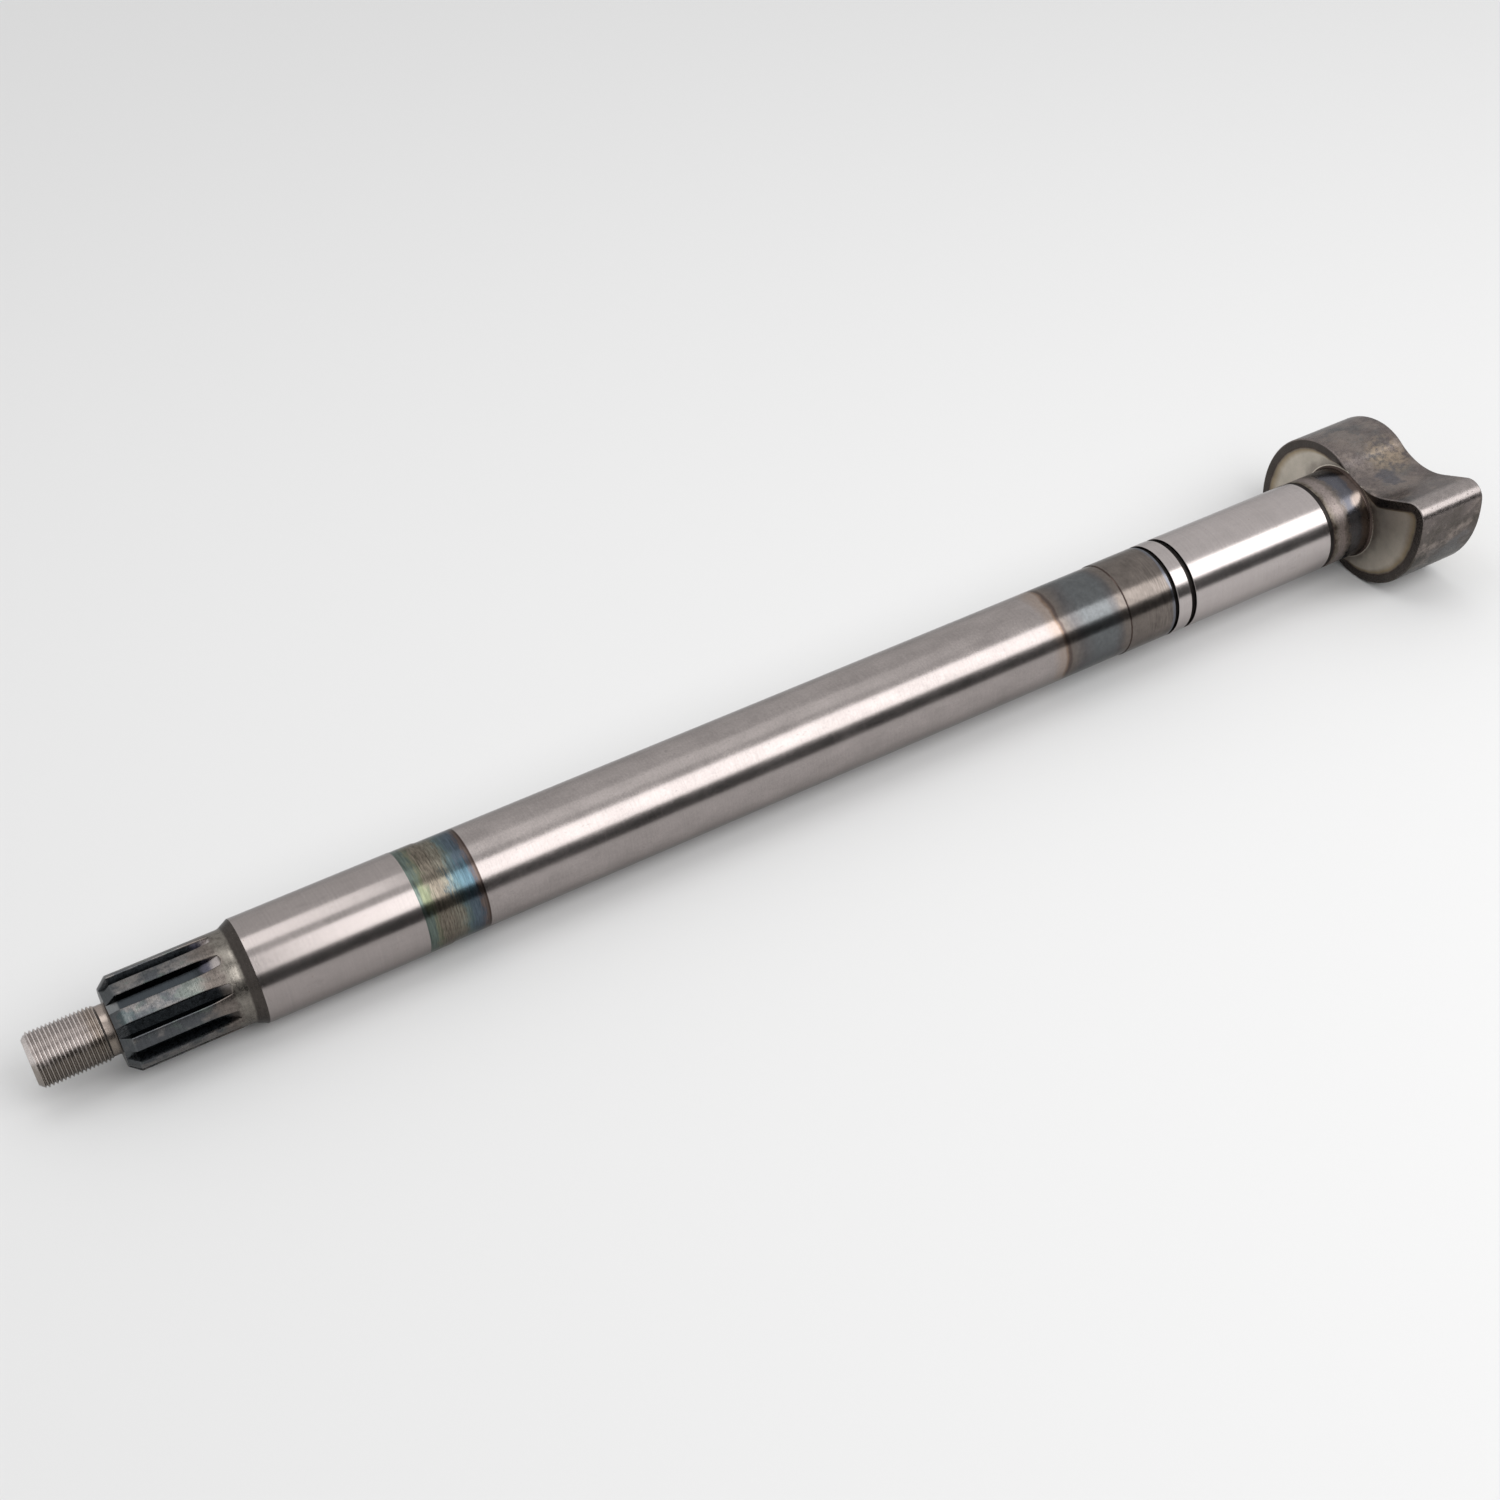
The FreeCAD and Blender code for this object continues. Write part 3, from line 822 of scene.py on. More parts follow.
def circle(station, radius, angles):
    """Points of a circle round the axis, at these angles."""
    return [(station, radius * math.cos(a), radius * math.sin(a)) for a in angles]


def spread(first, last, count):
    """Angles or lengths from first to last in this many steps."""
    return [first + (last - first) * n / count for n in range(count + 1)]


def centre_hole(sizes, face, inward):
    """A centre hole's tip, and (station, radius) from there to its mouth. Inward is 1 or -1."""
    pilot, mouth = sizes.centre_pilot_radius, sizes.centre_mouth_radius
    half_angle = math.radians(30.0)
    cone_depth = (mouth - pilot) / math.tan(half_angle)
    break_depth, break_inside, break_outside = 0.12 * MM, 0.07 * MM, 0.1 * MM
    steps = ((sizes.centre_pilot_depth, pilot), (cone_depth, pilot),
             (break_depth, mouth - break_inside), (0.0, mouth + break_outside))
    tip = sizes.centre_pilot_depth + pilot
    return face + inward * tip, [(face + inward * depth, radius) for depth, radius in steps]


class SplineShape:
    """Sections through one tooth and the halves of the grooves beside it."""

    floor_steps = 4
    flank_steps = 4
    top_steps = 7
    chamfer_steps = 3
    straight_steps = 5
    runout_steps = 18
    most_of_wall = 0.4

    def __init__(self, stub, sizes):
        self.sizes = sizes
        self.pitch_angle = TURN / sizes.count
        self.half_pitch = self.pitch_angle / 2
        self.front = stub.start + stub.thread_length + stub.collar_length
        self.leave = self.front + sizes.full_length
        drop = sizes.cutter_radius - (sizes.outer_radius - sizes.floor_height)
        self.rise = math.sqrt(sizes.cutter_radius ** 2 - drop ** 2)
        self.end = self.leave + self.rise
        self.cutter_height = sizes.outer_radius + drop
        chamfer_end = self.front + sizes.chamfer_length
        self.stations = spread(self.front, chamfer_end, self.chamfer_steps)
        self.stations += spread(chamfer_end, self.leave, self.straight_steps)[1:]
        self.stations += spread(self.leave, self.end, self.runout_steps)[1:]

    def groove_half_width(self, height):
        """Half of a groove's width at this height over the axis, with the groove on top."""
        half_tooth = self.sizes.tooth_width / 2 / math.cos(self.half_pitch)
        return height * math.tan(self.half_pitch) - half_tooth

    def floor(self, station):
        """Height of a groove's floor, which rises with the cutter where it leaves."""
        run = max(0.0, station - self.leave)
        return self.cutter_height - math.sqrt(self.sizes.cutter_radius ** 2 - run ** 2)

    def wall(self, station, height):
        """Half of the groove's width where the cutter's side passes at this height."""
        run = max(0.0, station - self.leave)
        reach = math.hypot(run, self.cutter_height - height)
        return self.groove_half_width(self.cutter_height - reach)

    def section(self, station):
        """Half of a groove and of the next tooth, as (radius, angle from the groove's middle)."""
        sizes = self.sizes
        chamfer_rise = sizes.outer_radius - sizes.front_radius
        outer = sizes.front_radius + chamfer_rise * (station - self.front) / sizes.chamfer_length
        outer = min(sizes.outer_radius, outer)
        floor = self.floor(station)
        floor_width = self.groove_half_width(sizes.floor_height)
        if math.hypot(floor_width, floor) < outer:
            # Halving finds the height at which the groove's wall meets the tooth's top.
            low, high = floor, outer
            for _ in range(50):
                middle = (low + high) / 2
                if math.hypot(self.wall(station, middle), middle) < outer:
                    low = middle
                else:
                    high = middle
            corner_height = low
            corner_width = self.wall(station, low)
        else:
            floor_width = math.sqrt(max(0.0, outer ** 2 - floor ** 2))
            corner_height, corner_width = floor, floor_width
        side_break = min(sizes.edge_break, (corner_height - floor) * self.most_of_wall)
        top_of_wall = corner_height - side_break
        path = [(width, floor) for width in spread(0.0, floor_width, self.floor_steps)]
        path += [(self.wall(station, height) if corner_height > floor else floor_width, height)
                 for height in spread(floor, top_of_wall, self.flank_steps)[1:]]
        points = [(math.hypot(w, h), math.atan2(w, h)) for w, h in path]
        corner_angle = math.atan2(corner_width, corner_height)
        first = corner_angle + side_break / outer
        points += [(outer, a) for a in spread(first, self.half_pitch, self.top_steps)]
        return points

    def sector(self, station):
        """One tooth with half a groove at each side, as (station, y, z) with growing angle."""
        half = self.section(station)
        middle = self.sizes.phase
        left = [(r, middle - self.half_pitch + a) for r, a in half]
        right = [(r, middle + self.half_pitch - a) for r, a in reversed(half[:-1])]
        return [(station, r * math.cos(a), r * math.sin(a)) for r, a in left + right]

    def whole(self, station):
        """The closed section through all teeth."""
        sector = np.array(self.sector(station))
        points = []
        for n in range(self.sizes.count):
            c, s = math.cos(n * self.pitch_angle), math.sin(n * self.pitch_angle)
            turned = sector @ np.array(((1, 0, 0), (0, c, s), (0, -s, c)))
            points += [tuple(p) for p in turned[:-1]]
        kept = [p for n, p in enumerate(points) if math.dist(p, points[n - 1]) > WELD_DISTANCE]
        return kept + kept[:1]


class HeadShape:
    """The cam head's outline, half of it from the start of one flank back to that of the other."""

    nose_steps = 22
    return_steps = 4
    flank_steps = 60
    rim_levels = (2.2 * MM, 3.6 * MM, 5.0 * MM)
    seat_margin = 0.02 * MM

    def __init__(self, shaft, sizes):
        self.sizes = sizes
        self.neck_radius = shaft.turned_radius
        self.fillet_radius = self.neck_radius + sizes.neck_fillet
        self.near = head_station(shaft)
        self.far = self.near + sizes.width
        start = self.flank(sizes.first_roll)
        self.cut_angle = math.atan2(start[1], start[0])
        self.columns = spread(self.cut_angle - math.pi, self.cut_angle, SHAFT_COLUMNS // 2)
        self.outline = self.half_outline()
        self.normals = self.outward()
        seated_radius = self.fillet_radius + sizes.seat_break + self.seat_margin
        self.seated = [math.hypot(*place) < seated_radius for place in self.outline]

    def flank(self, roll):
        """Point of the involute flank at this roll."""
        radius = self.sizes.base_radius * math.hypot(1.0, roll)
        angle = self.sizes.phase - (roll - math.atan(roll))
        return radius * np.array((math.cos(angle), math.sin(angle)))

    def half_outline(self):
        """Points with growing angle: seat, straight return, round nose, flank to its start."""
        sizes = self.sizes
        tip = self.flank(sizes.last_roll)
        nose_centre = tip + self.right(sizes.last_roll) * sizes.nose_radius
        seat_end = -self.flank(sizes.first_roll)
        inward = self.right(sizes.first_roll)
        reach = nose_centre - seat_end
        room = reach @ reach - sizes.nose_radius ** 2 - sizes.return_length ** 2
        seat_radius = room / (2 * (sizes.nose_radius + reach @ inward))
        seat_centre = seat_end + inward * seat_radius
        line = nose_centre - seat_centre
        bearing = math.atan2(line[1], line[0])
        bearing += math.atan2(sizes.return_length, sizes.nose_radius + seat_radius)
        outward = np.array((math.cos(bearing), math.sin(bearing)))
        nose_end = nose_centre - outward * sizes.nose_radius
        seat_start = seat_centre + outward * seat_radius
        least_gap = 0.3 * TURN / SHAFT_COLUMNS
        last_seat_angle = math.atan2(seat_start[1], seat_start[0]) - least_gap
        points = [self.on_circle(seat_centre, seat_radius, a)
                  for a in self.columns if a < last_seat_angle]
        points += [seat_start + (nose_end - seat_start) * s
                   for s in spread(0.0, 1.0, self.return_steps)]
        first = math.atan2(*(nose_end - nose_centre)[::-1])
        last = math.atan2(*(tip - nose_centre)[::-1])
        points += [nose_centre + sizes.nose_radius * np.array((math.cos(a), math.sin(a)))
                   for a in spread(first, last, self.nose_steps)[1:]]
        rolls = spread(sizes.last_roll, sizes.first_roll, self.flank_steps)
        return [np.array(p) for p in points + [self.flank(roll) for roll in rolls[1:]]]

    def right(self, roll):
        """Unit vector to the right of the way along the flank."""
        angle = self.sizes.phase - roll
        return np.array((math.sin(angle), -math.cos(angle)))

    def on_circle(self, centre, radius, angle):
        """Where a ray from the axis first meets a circle."""
        ray = np.array((math.cos(angle), math.sin(angle)))
        along = ray @ centre
        return ray * (along - math.sqrt(along ** 2 - centre @ centre + radius ** 2))

    def outward(self):
        """Unit normals of the outline, from the neighbours of each point."""
        points = self.outline
        chain = [-points[-2]] + points + [-points[1]]
        ways = [chain[n + 2] - chain[n] for n in range(len(points))]
        return [np.array((w[1], -w[0])) / math.hypot(*w) for w in ways]

    def near_round(self, place):
        """Radius of the near edge's round at this point, smaller where a seat nears the neck."""
        room = math.hypot(*place) - self.fillet_radius
        return min(self.sizes.edge_round, max(self.sizes.seat_break, 0.5 * room))

    def inset(self, n, depth):
        """Point of the outline moved inward."""
        return self.outline[n] - self.normals[n] * depth

    def row(self, station, depth):
        """The whole outline moved inward, at this station."""
        return [(station, *self.inset(n, depth)) for n in range(len(self.outline))]

    def fillet_station(self, radius):
        """Station of the neck's round at this radius."""
        fillet = self.sizes.neck_fillet
        sideways = min(1.0, max(0.0, (self.fillet_radius - radius) / fillet))
        return self.near - fillet + fillet * math.sqrt(1.0 - sideways ** 2)


def head_station(shaft):
    """Where the head's near face stands."""
    return inner_relief_start(shaft) + shaft.relief + shaft.neck


def inner_relief_start(shaft):
    """Where the inner journal ends."""
    return (shaft.outer_journal / 2 + shaft.outer_runout + shaft.outer_shoulder + shaft.outer_taper
            + shaft.body_length + shaft.inner_taper + shaft.inner_shoulder
            + shaft.ring_groove + shaft.land + shaft.seal_groove + shaft.inner_journal)


def shaft_profile(splines, shaft, head):
    """(station, radius, finish of the next stretch) from the splines to the neck's round."""
    half = shaft.outer_journal / 2
    groove_radius = shaft.journal_radius - shaft.groove_depth
    relief_radius = shaft.journal_radius - shaft.relief_depth
    cone_start = -half - shaft.cone_length
    slope = math.atan2(shaft.journal_radius - splines.outer_radius, shaft.cone_length)
    fillet_start = cone_start - shaft.cone_fillet * math.tan(slope / 2)
    lead = 2.4 * MM
    fillet_steps = 5
    points = [(fillet_start - lead, splines.outer_radius, SPLINE_FINISH)]
    points += [(fillet_start + shaft.cone_fillet * math.sin(a),
                splines.outer_radius + shaft.cone_fillet * (1 - math.cos(a)), SPLINE_FINISH)
               for a in spread(0.0, slope, fillet_steps)]
    steps = (
        (0.0, shaft.journal_radius, JOURNAL_FINISH),
        (shaft.outer_journal, shaft.journal_radius, SHAFT_FINISH),
        (shaft.outer_runout, shaft.turned_radius, SHAFT_FINISH),
        (shaft.outer_shoulder, shaft.turned_radius, SHAFT_FINISH),
        (shaft.outer_taper, shaft.body_radius, SHAFT_FINISH),
        (shaft.body_length, shaft.body_radius, SHAFT_FINISH),
        (shaft.inner_taper, shaft.turned_radius, SHAFT_FINISH),
        (shaft.inner_shoulder, shaft.turned_radius, GROOVE_FINISH),
        (0.0, groove_radius, GROOVE_FINISH),
        (shaft.ring_groove, groove_radius, GROOVE_FINISH),
        (0.0, shaft.journal_radius, JOURNAL_FINISH),
        (shaft.land, shaft.journal_radius, GROOVE_FINISH),
        (0.0, groove_radius, GROOVE_FINISH),
        (shaft.seal_groove, groove_radius, GROOVE_FINISH),
        (0.0, shaft.journal_radius, JOURNAL_FINISH),
        (shaft.inner_journal, shaft.journal_radius, GROOVE_FINISH),
        (0.0, relief_radius, GROOVE_FINISH),
        (shaft.relief, relief_radius, GROOVE_FINISH),
        (0.0, shaft.turned_radius, NECK_FINISH),
        (shaft.neck - head.neck_fillet, shaft.turned_radius, NECK_FINISH),
    )
    station = -half
    for step, radius, finish in steps:
        station += step
        points.append((station, radius, finish))
    return points


def broken_edges(points, size):
    """The same profile with its sharp corners cut back by a small flat."""
    most_of_span = 0.35
    made = [points[0]]
    for before, here, after in zip(points, points[1:], points[2:]):
        ways = [np.array(b[:2]) - np.array(a[:2]) for a, b in ((before, here), (here, after))]
        spans = [math.hypot(*w) for w in ways]
        turn = abs(math.remainder(math.atan2(*ways[1]) - math.atan2(*ways[0]), TURN))
        if turn < SMALL_TURN:
            made.append(here)
            continue
        cuts = [min(size, most_of_span * span) for span in spans]
        first = np.array(here[:2]) - ways[0] / spans[0] * cuts[0]
        second = np.array(here[:2]) + ways[1] / spans[1] * cuts[1]
        made += [(*first, before[2] if before[2] != GROOVE_FINISH else here[2]), (*second, here[2])]
    return made + [points[-1]]


def with_rings(points, spacing):
    """The same profile with long stretches divided, so that no face is much longer than this."""
    made = []
    for here, after in zip(points, points[1:]):
        count = max(1, round(math.dist(here[:2], after[:2]) / spacing))
        stations = spread(here[0], after[0], count)
        radii = spread(here[1], after[1], count)
        made += [(station, radius, here[2]) for station, radius in zip(stations[:-1], radii)]
    return made + [points[-1]]


def shaft_columns(splines, head):
    """Angles of the shaft's columns: those of the head's, begun beside the first spline groove."""
    step = TURN / SHAFT_COLUMNS
    start = splines.phase - math.pi / splines.count
    first = head.cut_angle - step * round((head.cut_angle - start) / step)
    return spread(first, first + TURN, SHAFT_COLUMNS)


def placed(name, mesh):
    """An object for a mesh whose place is in its points."""
    piece = bpy.data.objects.new(name, mesh)
    bpy.context.scene.collection.objects.link(piece)
    return piece


def joined(pieces, name):
    """The pieces joined into the first."""
    with bpy.context.temp_override(active_object=pieces[0], object=pieces[0],
                                   selected_objects=pieces, selected_editable_objects=pieces):
        bpy.ops.object.join()
    pieces[0].name = name
    pieces[0].data.name = name
    return pieces[0]


class CAMSHAFT_OT_finishes(bpy.types.Operator):
    """Make the steel finishes"""

    bl_idname = "camshaft.finishes"
    bl_label = "Steel Finishes"

    def execute(self, context):
        tints = context.scene.camshaft_tints
        for make in FINISHES:
            make(tints)
        return {"FINISHED"}


class CAMSHAFT_OT_stub(bpy.types.Operator):
    """Build the end face with its centre hole, the thread and the collar"""

    bl_idname = "camshaft.stub"
    bl_label = "Threaded Stub"

    collar_lead = 1.1 * MM
    fillet_steps = 6
    rows_a_turn = 12

    def execute(self, context):
        sizes = context.scene.camshaft_stub
        shape = SplineShape(sizes, context.scene.camshaft_splines)
        collar_start = sizes.start + sizes.thread_length
        skin = Skin()
        hole_angles = spread(0.0, TURN, CENTRE_HOLE_COLUMNS)
        tip, rings = centre_hole(sizes, sizes.start, 1)
        below = skin.chain([(tip, 0.0, 0.0)]) * len(hole_angles)
        below = skin.rows([circle(*ring, hole_angles) for ring in rings], below, THREAD_FINISH)
        angles = spread(0.0, TURN, THREAD_COLUMNS)
        skin.zip(below, skin.chain(circle(sizes.start, sizes.nose_radius, angles)), THREAD_FINISH)
        radius, fillet = sizes.collar_radius, sizes.collar_fillet
        rings = [(collar_start, radius), (collar_start + self.collar_lead, radius)]
        rings += [(shape.front - fillet + fillet * math.sin(a), radius + fillet * (1 - math.cos(a)))
                  for a in spread(0.0, math.pi / 2, self.fillet_steps)]
        below = skin.rows([circle(*ring, angles) for ring in rings], finish=THREAD_FINISH)
        skin.zip(below, skin.chain(shape.whole(shape.front)), SPLINE_FINISH)
        plain = placed("stub_ends", skin.mesh("stub_ends", finishes()))
        turns = math.ceil(sizes.thread_length / sizes.pitch + 1.0)
        thread = grown(
            "threaded_stub", bpy.data.meshes.new("thread"), thread_tree(),
            start=sizes.start, end=collar_start, pitch=sizes.pitch,
            crest_radius=sizes.crest_radius, root_radius=sizes.root_radius,
            end_radius=sizes.nose_radius, collar_radius=sizes.collar_radius,
            chamfer_length=sizes.chamfer_length, run_out_length=sizes.runout_length,
            turns=turns, rows_a_turn=self.rows_a_turn, columns=THREAD_COLUMNS,
            material=finishes()[THREAD_FINISH],
        )
        joined([thread, plain], "threaded_stub")
        return {"FINISHED"}


class CAMSHAFT_OT_splines(bpy.types.Operator):
    """Build one tooth between two half grooves and repeat it round the shaft"""

    bl_idname = "camshaft.splines"
    bl_label = "Splines"

    def execute(self, context):
        sizes = context.scene.camshaft_splines
        shape = SplineShape(context.scene.camshaft_stub, sizes)
        skin = Skin()
        skin.rows([shape.sector(station) for station in shape.stations])
        sector = skin.mesh("spline_sector", ())
        grown("splines", sector, round_tree(), count=sizes.count,
              material=finishes()[SPLINE_FINISH])
        return {"FINISHED"}


class CAMSHAFT_OT_shaft(bpy.types.Operator):
    """Build the turned shaft from the splines to the cam head"""

    bl_idname = "camshaft.shaft"
    bl_label = "Turned Shaft"

    ring_spacing = 14.0 * MM

    def execute(self, context):
        scene = context.scene
        splines, shaft, head = scene.camshaft_splines, scene.camshaft_shaft, scene.camshaft_head
        shape = SplineShape(scene.camshaft_stub, splines)
        columns = shaft_columns(splines, HeadShape(shaft, head))
        profile = broken_edges(shaft_profile(splines, shaft, head), shaft.edge_break)
        skin = Skin()
        below = skin.chain(shape.whole(shape.end))
        painted = None
        for station, radius, finish in with_rings(profile, self.ring_spacing):
            ring = skin.chain(circle(station, radius, columns))
            if painted is None:
                skin.zip(below, ring, SPLINE_FINISH)
            else:
                skin.strip(below, ring, painted)
            below, painted = ring, finish
        placed("turned_shaft", skin.mesh("turned_shaft", finishes()))
        return {"FINISHED"}


class CAMSHAFT_OT_head(bpy.types.Operator):
    """Build half of the cam head and repeat it round the shaft"""

    bl_idname = "camshaft.head"
    bl_label = "Cam Head"

    round_angles = spread(0.0, math.pi / 2, 4)[1:]
    fillet_steps = 6
    side_steps = 6
    face_ring_radius = 13.0 * MM
    face_ring_steps = 60

    def execute(self, context):
        scene = context.scene
        sizes = scene.camshaft_head
        shape = HeadShape(scene.camshaft_shaft, sizes)
        skin = Skin()
        foot = self.neck_round(skin, shape)
        edge = self.near_face(skin, shape, foot)
        edge = self.sides(skin, shape, edge)
        self.far_face(skin, shape, edge, scene.camshaft_stub)
        half = skin.mesh("head_half", ())
        grown("cam_head", half, bpy.data.node_groups["Repeat Round the Shaft"], count=2,
              material=finishes()[HEAD_FINISH])
        return {"FINISHED"}

    def neck_round(self, skin, shape):
        """The round from the neck up to the near face, cut short where a seat passes."""
        fillet = shape.sizes.neck_fillet
        ends = []
        for n in range(len(shape.columns)):
            radius = shape.fillet_radius
            if shape.seated[n]:
                radius = math.hypot(*shape.outline[n]) - shape.sizes.seat_break
            ends.append(math.acos(min(1.0, max(0.0, (shape.fillet_radius - radius) / fillet))))
        rows = []
        for share in spread(0.0, 1.0, self.fillet_steps):
            row = []
            for angle, end in zip(shape.columns, ends):
                radius = shape.fillet_radius - fillet * math.cos(end * share)
                station = shape.near - fillet + fillet * math.sin(end * share)
                row.append((station, radius * math.cos(angle), radius * math.sin(angle)))
            rows.append(row)
        return skin.rows(rows, rim=INSIDE_FACE)

    def near_face(self, skin, shape, foot):
        """The near face from the neck's round out to the outline, with its edge round."""
        count = len(shape.outline)
        rounds = [shape.near_round(place) for place in shape.outline]
        rooms = [math.hypot(*p) - shape.fillet_radius for p in shape.outline]
        below = None
        for level, share in zip((*reversed(shape.rim_levels), 0.0), (0.75, 0.5, 0.25, 0.0)):
            depths = [min(max(level, rounded), rounded + share * (room - rounded))
                      for rounded, room in zip(rounds, rooms)]
            points = [(shape.near, *shape.inset(n, depths[n])) for n in range(count)]
            ring = skin.chain(points, depths)
            ring = [foot[n] if shape.seated[n] else number for n, number in enumerate(ring)]
            if below:
                skin.strip(below, ring)
            else:
                skin.zip(foot, ring)
            below = ring
        for angle in self.round_angles:
            row = []
            for n, place in enumerate(shape.outline):
                depth = rounds[n] * (1 - math.sin(angle))
                if shape.seated[n]:
                    reach = math.hypot(*place)
                    base = shape.fillet_station(reach - rounds[n])
                    point = place * (1 - depth / reach)
                else:
                    base = shape.near
                    point = shape.inset(n, depth)
                row.append((base + rounds[n] * (1 - math.cos(angle)), *point))
            below = skin.rows([row], below)
        return below

    def sides(self, skin, shape, edge):
        """The flanks, noses and seats, and the round at the far side."""
        last = shape.far - shape.sizes.edge_round
        starts = [skin.points[number][0] for number in edge]
        for share in spread(0.0, 1.0, self.side_steps)[1:]:
            row = [(start + (last - start) * share, *place)
                   for start, place in zip(starts, shape.outline)]
            edge = skin.rows([row], edge)
        for angle in self.round_angles:
            depth = shape.sizes.edge_round * (1 - math.cos(angle))
            station = last + shape.sizes.edge_round * math.sin(angle)
            edge = skin.rows([shape.row(station, depth)], edge, rim=depth)
        return edge

    def far_face(self, skin, shape, edge, stub):
        """The far face in to its centre hole."""
        for depth in shape.rim_levels:
            edge = skin.rows([shape.row(shape.far, depth)], edge, rim=depth)
        first, last = shape.columns[0], shape.columns[-1]
        inner = circle(shape.far, self.face_ring_radius, spread(first, last, self.face_ring_steps))
        inner_edge = skin.chain(inner, INSIDE_FACE / 2)
        skin.zip(edge, inner_edge)
        tip, rings = centre_hole(stub, shape.far, -1)
        angles = spread(first, last, CENTRE_HOLE_COLUMNS // 2)
        rows = [circle(*ring, angles) for ring in reversed(rings)]
        mouth = skin.chain(rows[0], INSIDE_FACE)
        skin.zip(inner_edge, mouth)
        below = skin.rows(rows[1:], mouth, rim=INSIDE_FACE)
        skin.strip(below, skin.chain([(tip, 0.0, 0.0)], INSIDE_FACE) * len(angles))


class CAMSHAFT_OT_weld(bpy.types.Operator):
    """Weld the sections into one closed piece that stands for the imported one"""

    bl_idname = "camshaft.weld"
    bl_label = "One Piece"

    sharp_angle = math.radians(28.0)

    def execute(self, context):
        names = ("threaded_stub", "splines", "turned_shaft", "cam_head")
        piece = joined([bpy.data.objects[name] for name in names], "finished_camshaft")
        mesh = bmesh.new()
        mesh.from_mesh(piece.data)
        bmesh.ops.remove_doubles(mesh, verts=mesh.verts, dist=WELD_DISTANCE)
        bmesh.ops.triangulate(mesh, faces=[f for f in mesh.faces if len(f.verts) > 4])
        loose = [e for e in mesh.edges if len(e.link_faces) != 2]
        if loose:
            stations = sorted({round(v.co.x / MM, 1) for e in loose for v in e.verts})
            raise RuntimeError(f"the skin is open at {len(loose)} edges, at {stations[:12]} mm")
        if mesh.calc_volume(signed=True) <= 0:
            raise RuntimeError("the skin faces inward")
        for face in mesh.faces:
            face.smooth = True
        stub = context.scene.camshaft_stub
        margin = 0.1 * MM
        thread_start = stub.start + margin
        thread_end = stub.start + stub.thread_length - margin
        for edge in mesh.edges:
            in_thread = all(thread_start < v.co.x < thread_end and v.co.yz.length > stub.nose_radius
                            for v in edge.verts)
            edge.smooth = in_thread or edge.calc_face_angle() < self.sharp_angle
        mesh.to_mesh(piece.data)
        mesh.free()
        weights = piece.modifiers.new("Even Shading", "WEIGHTED_NORMAL")
        weights.keep_sharp = True
        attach(piece, "root")
        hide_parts("camshaft")
        return {"FINISHED"}


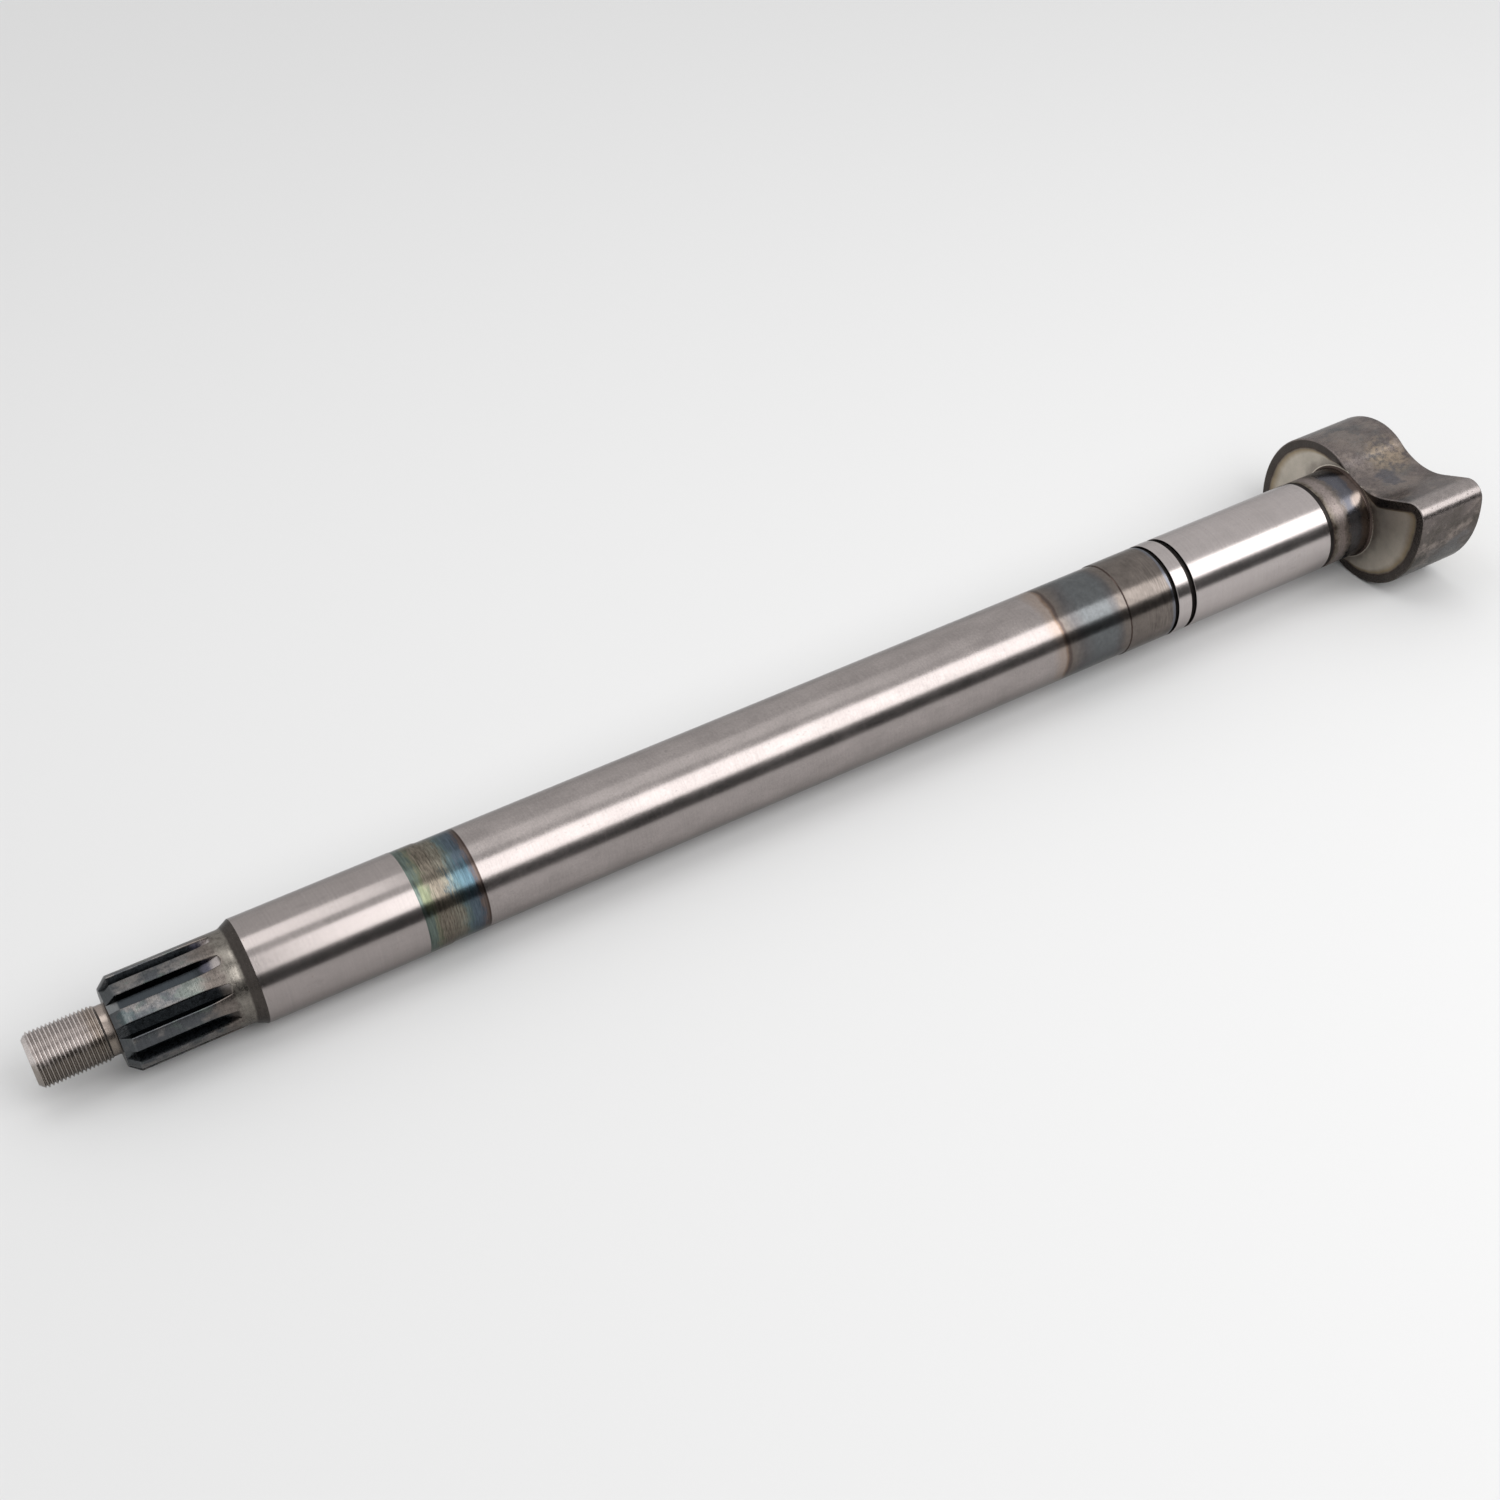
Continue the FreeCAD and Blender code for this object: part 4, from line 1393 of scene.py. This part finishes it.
class CAMSHAFT_OT_stage(bpy.types.Operator):
    """Lay the floor, hang the lamps and set the camera"""

    bl_idname = "camshaft.stage"
    bl_label = "Floor, Lamps and Camera"

    floor_reach = 6.0
    board_corners = ((-1.2, -1.5, -0.1), (2.6, -1.5, -0.1), (2.6, -1.35, 0.72), (-1.2, -1.35, 0.72))

    # Name, station in millimetres, bearing in degrees, and distance, length and width in metres.
    softboxes = (
        ("long_softbox", 915.0, 131.0, 1.20, 1.57, 0.80),
        ("small_softbox", 15.0, 82.0, 1.00, 0.37, 0.50),
        ("fill_softbox", 480.0, 82.0, 1.00, 0.54, 0.50),
    )

    def execute(self, context):
        context.scene.view_settings.view_transform = "Standard"
        self.floor(context.scene)
        self.lamps(context.scene)
        self.camera(context.scene)
        return {"FINISHED"}

    def floor(self, scene):
        """A pale floor that touches both the outer journal and the head."""
        shaft = scene.camshaft_shaft
        head = HeadShape(shaft, scene.camshaft_head)
        low = -max(abs(place[1]) for place in head.outline)
        start = -shaft.outer_journal / 2
        fall = (low + shaft.journal_radius) / (head.near - start)
        reach = self.floor_reach
        corners = [(x, y, -shaft.journal_radius + (x - start) * fall) for x, y in
                   ((-reach, -reach), (reach, -reach), (reach, reach), (-reach, reach))]
        floor, shader = self.panel("floor", corners, scene.camshaft_stage.floor)
        shader.inputs["Roughness"].default_value = 0.9
        shader.inputs["Specular IOR Level"].default_value = 0.0

    def panel(self, name, corners, tone):
        """A flat panel of four corners in one plain colour, with its shader."""
        mesh = bpy.data.meshes.new(name)
        mesh.from_pydata(corners, [], [(0, 1, 2, 3)])
        material = bpy.data.materials.new(name)
        material.use_nodes = True
        shader = material.node_tree.nodes["Principled BSDF"]
        shader.inputs["Base Color"].default_value = (*tone, 1.0)
        mesh.materials.append(material)
        return placed(name, mesh), shader

    def lamps(self, scene):
        """A pale room, a long softbox in front, two above, and a dark board low in front."""
        world = bpy.data.worlds.new("pale_room")
        scene.world = world
        world.use_nodes = True
        back = world.node_tree.nodes["Background"]
        stage = scene.camshaft_stage
        back.inputs["Color"].default_value = (*stage.room, 1.0)
        levels = (stage.long_level, stage.small_level, stage.fill_level)
        for softbox, level in zip(self.softboxes, levels):
            self.softbox(scene, *softbox, level)
        board, _ = self.panel("dark_board", self.board_corners, (0.05, 0.05, 0.05))
        board.visible_camera = False

    def softbox(self, scene, name, station_mm, bearing_deg, distance, long, wide, level):
        """A rectangular lamp along the shaft, at this bearing round it. Level is its brightness."""
        lamp = bpy.data.lights.new(name, "AREA")
        lamp.shape = "RECTANGLE"
        lamp.size = long
        lamp.size_y = wide
        lamp.energy = level * math.pi * long * wide
        box = bpy.data.objects.new(name, lamp)
        bearing = math.radians(bearing_deg)
        place = (station_mm * MM, distance * math.cos(bearing), distance * math.sin(bearing))
        turned = Matrix.Rotation(bearing - math.pi / 2, 4, "X")
        box.matrix_world = Matrix.Translation(place) @ turned
        box.visible_camera = False
        scene.collection.objects.link(box)

    def camera(self, scene):
        """The camera at the photograph's viewing place."""
        lens = bpy.data.cameras.new("camera")
        lens.sensor_width = 36.0
        lens.lens = CAMERA_LENS
        lens.clip_start = 0.01
        lens.clip_end = 50.0
        camera = bpy.data.objects.new("camera", lens)
        turned = Matrix((CAMERA_RIGHT, CAMERA_UP, -CAMERA_FORWARD)).transposed().to_4x4()
        camera.matrix_world = Matrix.Translation(CAMERA_PLACE) @ turned
        scene.collection.objects.link(camera)
        scene.camera = camera


class CAMSHAFT_PT_sizes(bpy.types.Panel):
    """The camshaft's sizes and the buttons that build it"""

    bl_idname = "CAMSHAFT_PT_sizes"
    bl_label = "Brake Camshaft"
    bl_space_type = "VIEW_3D"
    bl_region_type = "UI"
    bl_category = "Camshaft"

    def draw(self, context):
        for operator in OPERATORS:
            self.layout.operator(operator.bl_idname)
        for name in SIZE_GROUPS:
            group = getattr(context.scene, name)
            box = self.layout.box()
            box.label(text=group.bl_rna.description)
            for key in group.__annotations__:
                box.prop(group, key)


SIZE_GROUPS = {
    "camshaft_stub": StubSizes,
    "camshaft_splines": SplineSizes,
    "camshaft_shaft": ShaftSizes,
    "camshaft_head": HeadSizes,
    "camshaft_tints": TintColours,
    "camshaft_stage": StageSettings,
}
OPERATORS = (CAMSHAFT_OT_finishes, CAMSHAFT_OT_stub, CAMSHAFT_OT_splines, CAMSHAFT_OT_shaft,
             CAMSHAFT_OT_head, CAMSHAFT_OT_weld, CAMSHAFT_OT_stage)


def register():
    for kind in (*SIZE_GROUPS.values(), *OPERATORS, CAMSHAFT_PT_sizes):
        bpy.utils.register_class(kind)
    for name, kind in SIZE_GROUPS.items():
        setattr(bpy.types.Scene, name, bpy.props.PointerProperty(type=kind))


def unregister():
    for name in SIZE_GROUPS:
        delattr(bpy.types.Scene, name)
    for kind in reversed((*SIZE_GROUPS.values(), *OPERATORS, CAMSHAFT_PT_sizes)):
        bpy.utils.unregister_class(kind)


def main():
    register()
    for operator in OPERATORS:
        group, name = operator.bl_idname.split(".")
        getattr(getattr(bpy.ops, group), name)()


if __name__ == "__main__":
    main()
